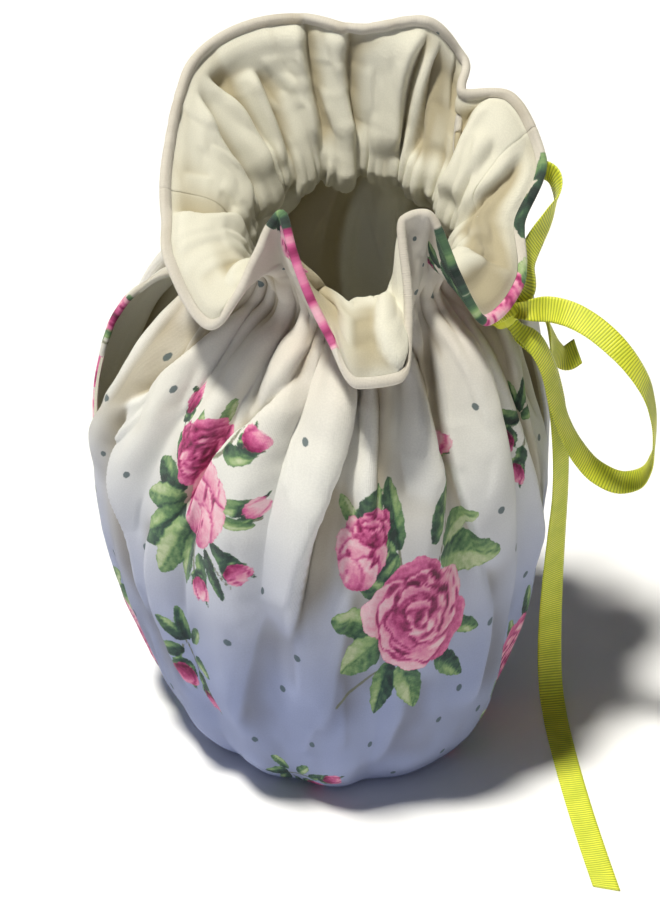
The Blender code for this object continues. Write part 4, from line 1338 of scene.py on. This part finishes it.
def ribbon_run(name, table, first, last=None, finish=None):
    """A run of ribbon along a table's points, ribbed across and pinched where it goes into the knot."""
    rows = np.array(table)
    points, faces = rows[:, :3], rows[:, 3:]
    start, leaves = ribbon_start(first)
    points = np.vstack([start - leaves * RIBBON_TUCK, start + leaves * RIBBON_STEP, points])
    faces = np.vstack([faces[0], faces[0], faces])
    if last:
        end, leaves = ribbon_start(last)
        points = np.vstack([points, end + leaves * RIBBON_STEP, end - leaves * RIBBON_TUCK])
        faces = np.vstack([faces, faces[-1], faces[-1]])
    way = np.concatenate([[0], np.cumsum(np.linalg.norm(np.diff(points, axis=0), axis=1))])
    at = np.arange(0, way[-1], RIB_PITCH / RIB_ROWS)
    middle = np.stack([spline(at, way, points[:, k]) for k in range(3)], axis=-1)
    for turn in range(RIBBON_SMOOTHING):
        middle[1:-1] = 0.5 * middle[1:-1] + 0.25 * (middle[:-2] + middle[2:])
    facing = np.stack([spline(at, way, faces[:, k]) for k in range(3)], axis=-1)
    heading = unit(np.gradient(middle, axis=0))
    across = unit(np.cross(facing, heading))
    thick = unit(np.cross(heading, across))
    pinch = np.exp(-((at / PINCH_LENGTH) ** 2))
    if last:
        pinch = pinch + np.exp(-(((at[-1] - at) / PINCH_LENGTH) ** 2))
    rib = 0.5 - 0.5 * np.cos(2 * np.pi * at / RIB_PITCH)
    place = np.linspace(-1, 1, RIBBON_ACROSS)
    place = np.sign(place) * np.abs(place) ** 0.8
    half = (RIBBON_WIDTH / 2 - RIB_NOTCH * (1 - rib)) * (1 - PINCH * pinch)
    cup = (0.0030 * pinch + 0.00025)[:, None] * (place**2 - 0.4)
    body = (RIBBON_BODY / 2 + RIB_HEIGHT * rib)[:, None] * (1 - 0.55 * np.abs(place) ** 6)
    slant = np.zeros((len(at), RIBBON_ACROSS))
    if not last:
        cut = np.clip((at - at[-1] + END_LENGTH) / END_LENGTH, 0, 1)[:, None]
        slant = slant + cut * place * END_SLANT * RIBBON_WIDTH / 2
    skins = []
    for side in (1, -1):
        skin = (middle[:, None] + across[:, None] * (half[:, None] * place)[..., None]
                + thick[:, None] * (cup + side * body)[..., None] + heading[:, None] * slant[..., None])
        skins.append(skin if side > 0 else skin[:, ::-1])
    rings = np.concatenate(skins, axis=1)
    rings[..., 2] = np.maximum(rings[..., 2], RIBBON_LIFT)
    count, around = rings.shape[:2]
    index = np.arange(count * around).reshape(count, around)
    after = np.roll(index, -1, axis=1)
    sides = np.stack([index[:-1], after[:-1], after[1:], index[1:]], axis=-1).reshape(-1, 4)
    caps = []
    for row, turn in ((0, 1), (-1, -1)):
        top, under = index[row, :RIBBON_ACROSS], index[row, RIBBON_ACROSS:][::-1]
        for k in range(RIBBON_ACROSS - 1):
            caps.append([int(i) for i in (top[k], under[k], under[k + 1], top[k + 1])][::-turn])
    over = np.concatenate([place, place[::-1]]) * RIBBON_WIDTH / 2
    flat = np.stack(np.broadcast_arrays(over, at[:, None]), axis=-1)
    made = mesh_object(name, rings, [face[::-1] for face in sides.tolist()] + caps, flat)
    # The material paints shade in the grooves from this field.
    add_field(made, "rib", np.broadcast_to(rib[:, None], (count, around)))
    made.data.materials.append(finish)
    return made, float(at[-1])


KNOT_TURNS = 96
KNOT_RINGS = 64
KNOT_FLAT_RADIUS = 0.006


def knot(finish):
    """The knot: ribbon drawn into a tight bulge, with one band wrapped over its middle."""
    centre, axes = knot_frame()
    high = np.linspace(0, np.pi, KNOT_RINGS + 1)[:, None]
    wide = np.linspace(0, 2 * np.pi, KNOT_TURNS, endpoint=False)[None]
    ball = [np.cos(high) + 0 * wide, np.sin(high) * np.cos(wide), np.sin(high) * np.sin(wide)]
    ball = np.stack(ball, axis=-1)
    ball = np.sign(ball) * np.abs(ball) ** KNOT_SQUARENESS
    band = eased(0.52 - np.abs(ball[..., 0] - 0.15 * ball[..., 1]), -0.05, 0.05)
    pleats = 0.045 * np.sin(7 * wide + 3 * high) * (1 - band) * np.sin(high)
    ribs = 0.5 - 0.5 * np.cos(2 * np.pi * (wide * KNOT_HALF_SIZES[1]) / RIB_PITCH)
    swell = 0.93 + 0.09 * band + pleats + 0.018 * ribs * band
    points = centre + (ball * swell[..., None] * KNOT_HALF_SIZES) @ axes
    count, around = points.shape[:2]
    index = np.arange(count * around).reshape(count, around)
    after = np.roll(index, -1, axis=1)
    faces = np.stack([index[:-1], index[1:], after[1:], after[:-1]], axis=-1).reshape(-1, 4)
    flat = np.stack(np.broadcast_arrays(high, wide), axis=-1) * KNOT_FLAT_RADIUS
    made = mesh_object("knot_wrap", points, faces.tolist(), flat)
    # The rib field also sets the painted shade in the knot's grooves.
    add_field(made, "rib", ribs * band + 0.6 * (1 - band))
    made.data.materials.append(finish)
    return made


# The pieces: two printed panels, two lining panels and the bow
print_look = cotton("print_cotton_look", OFF_WHITE, OFF_WHITE_IN_PAINTED_BLUE_SHADE, True)
cream_look = cotton("cream_cotton_look", CREAM, CREAM)
ribbon_look = grosgrain()
PANEL_SPRAYS = {"front": FRONT_SPRAYS, "back": BACK_SPRAYS}
pieces = []
for panel in PANEL_ANGLE:
    grid, angle, way = print_skin(Cloth(panel, COLUMNS[panel]))
    cover = grid_object(f"{panel}_print", grid, angle, way)
    pattern = printed(angle, way, PANEL_SPRAYS[panel])
    for layer_name, values in pattern.layers.items():
        add_field(cover, layer_name, values)
    for layer_name, values in pattern.tones.items():
        add_field(cover, f"{layer_name}_tone", values)
    # The material paints shade in the folds from this depth.
    add_field(cover, "hollow", pattern.deep)
    cover.data.materials.append(print_look)
    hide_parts(f"{panel}_cover")
    grid, angle, way = lining_skin(Cloth(panel, LINING_COLUMNS[panel]))
    lining = grid_object(f"{panel}_cream", grid, angle, way)
    # The material paints shade in the lining's folds from this depth.
    add_field(lining, "hollow", hollow(angle, way, -1))
    lining.data.materials.append(cream_look)
    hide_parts(f"{panel}_lining")
    for piece in (cover, lining):
        pieces.append(piece)

knot_piece = knot(ribbon_look)
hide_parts("ribbon_knot")
RUNS = (
    # name, node, table, leaves the knot at, goes back at
    ("bow_loop", "ribbon_loop", RIBBON_LOOP, "loop_top", "loop_foot"),
    ("bow_back_loop", "ribbon_back_loop", RIBBON_BACK_LOOP, "back_loop_top", "back_loop_foot"),
    ("bow_long_tail", "ribbon_long_tail", RIBBON_LONG_TAIL, "long_tail", None),
    ("bow_short_tail", "ribbon_short_tail", RIBBON_SHORT_TAIL, "short_tail", None),
)
for run_name, node_name, table, first, last in RUNS:
    run, run_length = ribbon_run(run_name, table, first, last, ribbon_look)
    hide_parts(node_name)
    pieces.append(run)
pieces.append(knot_piece)
for piece in pieces:
    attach(piece, "root")

# The floor, the light and the camera
FLOOR_SIZE = 40.0
FLOOR_SHADE = 0.88
corners = [(x * FLOOR_SIZE, y * FLOOR_SIZE, 0) for x, y in ((-1, -1), (1, -1), (1, 1), (-1, 1))]
mesh = bpy.data.meshes.new("floor")
mesh.from_pydata(corners, [], [(0, 1, 2, 3)])
floor = bpy.data.objects.new("floor", mesh)
bpy.context.scene.collection.objects.link(floor)
floor_look = Graph("pale_floor")
floor_look.shader.inputs["Base Color"].default_value = (FLOOR_SHADE, FLOOR_SHADE, FLOOR_SHADE, 1)
floor_look.shader.inputs["Roughness"].default_value = 0.85
floor.data.materials.append(floor_look.material)

# A studio that is pale round the horizon and dim overhead
HORIZON_LIGHT = 0.50
OVERHEAD_LIGHT = 0.07
HORIZON_TOP = 0.22
world = bpy.data.worlds.new("studio")
world.use_nodes = True
links, nodes = world.node_tree.links, world.node_tree.nodes
heading = nodes.new("ShaderNodeTexCoord")
parts = nodes.new("ShaderNodeSeparateXYZ")
fading = nodes.new("ShaderNodeMapRange")
fading.interpolation_type = "SMOOTHSTEP"
for place, number in enumerate((0.0, HORIZON_TOP, HORIZON_LIGHT, OVERHEAD_LIGHT), start=1):
    fading.inputs[place].default_value = number
links.new(heading.outputs["Generated"], parts.inputs[0])
links.new(parts.outputs["Z"], fading.inputs[0])
links.new(fading.outputs[0], nodes["Background"].inputs["Strength"])
nodes["Background"].inputs["Color"].default_value = (1.0, 0.98, 0.96, 1)
bpy.context.scene.world = world


KEY_HEADING = (0.30, 0.04, -1.20)
KEY_SOFTNESS = math.radians(7)
KEY_STRENGTH = 4.1
KEY_COLOUR = (1.0, 0.975, 0.90)


def aimed(name, data, direction):
    """A light or camera that looks along a direction."""
    made = bpy.data.objects.new(name, data)
    made.rotation_mode = "QUATERNION"
    made.rotation_quaternion = Vector(direction).to_track_quat("-Z", "Y")
    bpy.context.scene.collection.objects.link(made)
    return made


key = bpy.data.lights.new("key", "SUN")
key.energy, key.angle, key.color = KEY_STRENGTH, KEY_SOFTNESS, KEY_COLOUR
aimed("key", key, KEY_HEADING)
FILLS = (
    # name, from, to, size, power, colour
    ("fill", (0.0, -1.0, 0.06), (0.0, 0.0, 0.04), 0.6, 0.7, (0.22, 0.38, 1.0)),
    ("side", (-1.0, -0.6, 0.15), (0.0, 0.0, 0.06), 0.6, 0.9, (0.28, 0.46, 1.0)),
)
for name, place, towards, size, power, colour in FILLS:
    lamp = bpy.data.lights.new(name, "AREA")
    lamp.size, lamp.energy, lamp.color = size, power, colour
    aimed(name, lamp, Vector(towards) - Vector(place)).location = Vector(place) - Vector(ORIGIN)

TARGET = Vector((-0.0025, 0.0, 0.1225)) - Vector(ORIGIN)
ELEVATION = math.radians(38)
CAMERA_DISTANCE = 1.6
CAMERA_LENS = 153.6
CAMERA_SENSOR = 36.0
back = Vector((0.0, -math.cos(ELEVATION), math.sin(ELEVATION)))
camera = aimed("camera", bpy.data.cameras.new("camera"), -back)
camera.data.sensor_width = CAMERA_SENSOR
camera.data.lens = CAMERA_LENS
camera.location = TARGET + back * CAMERA_DISTANCE
bpy.context.scene.camera = camera
bpy.context.scene.view_settings.view_transform = "Standard"
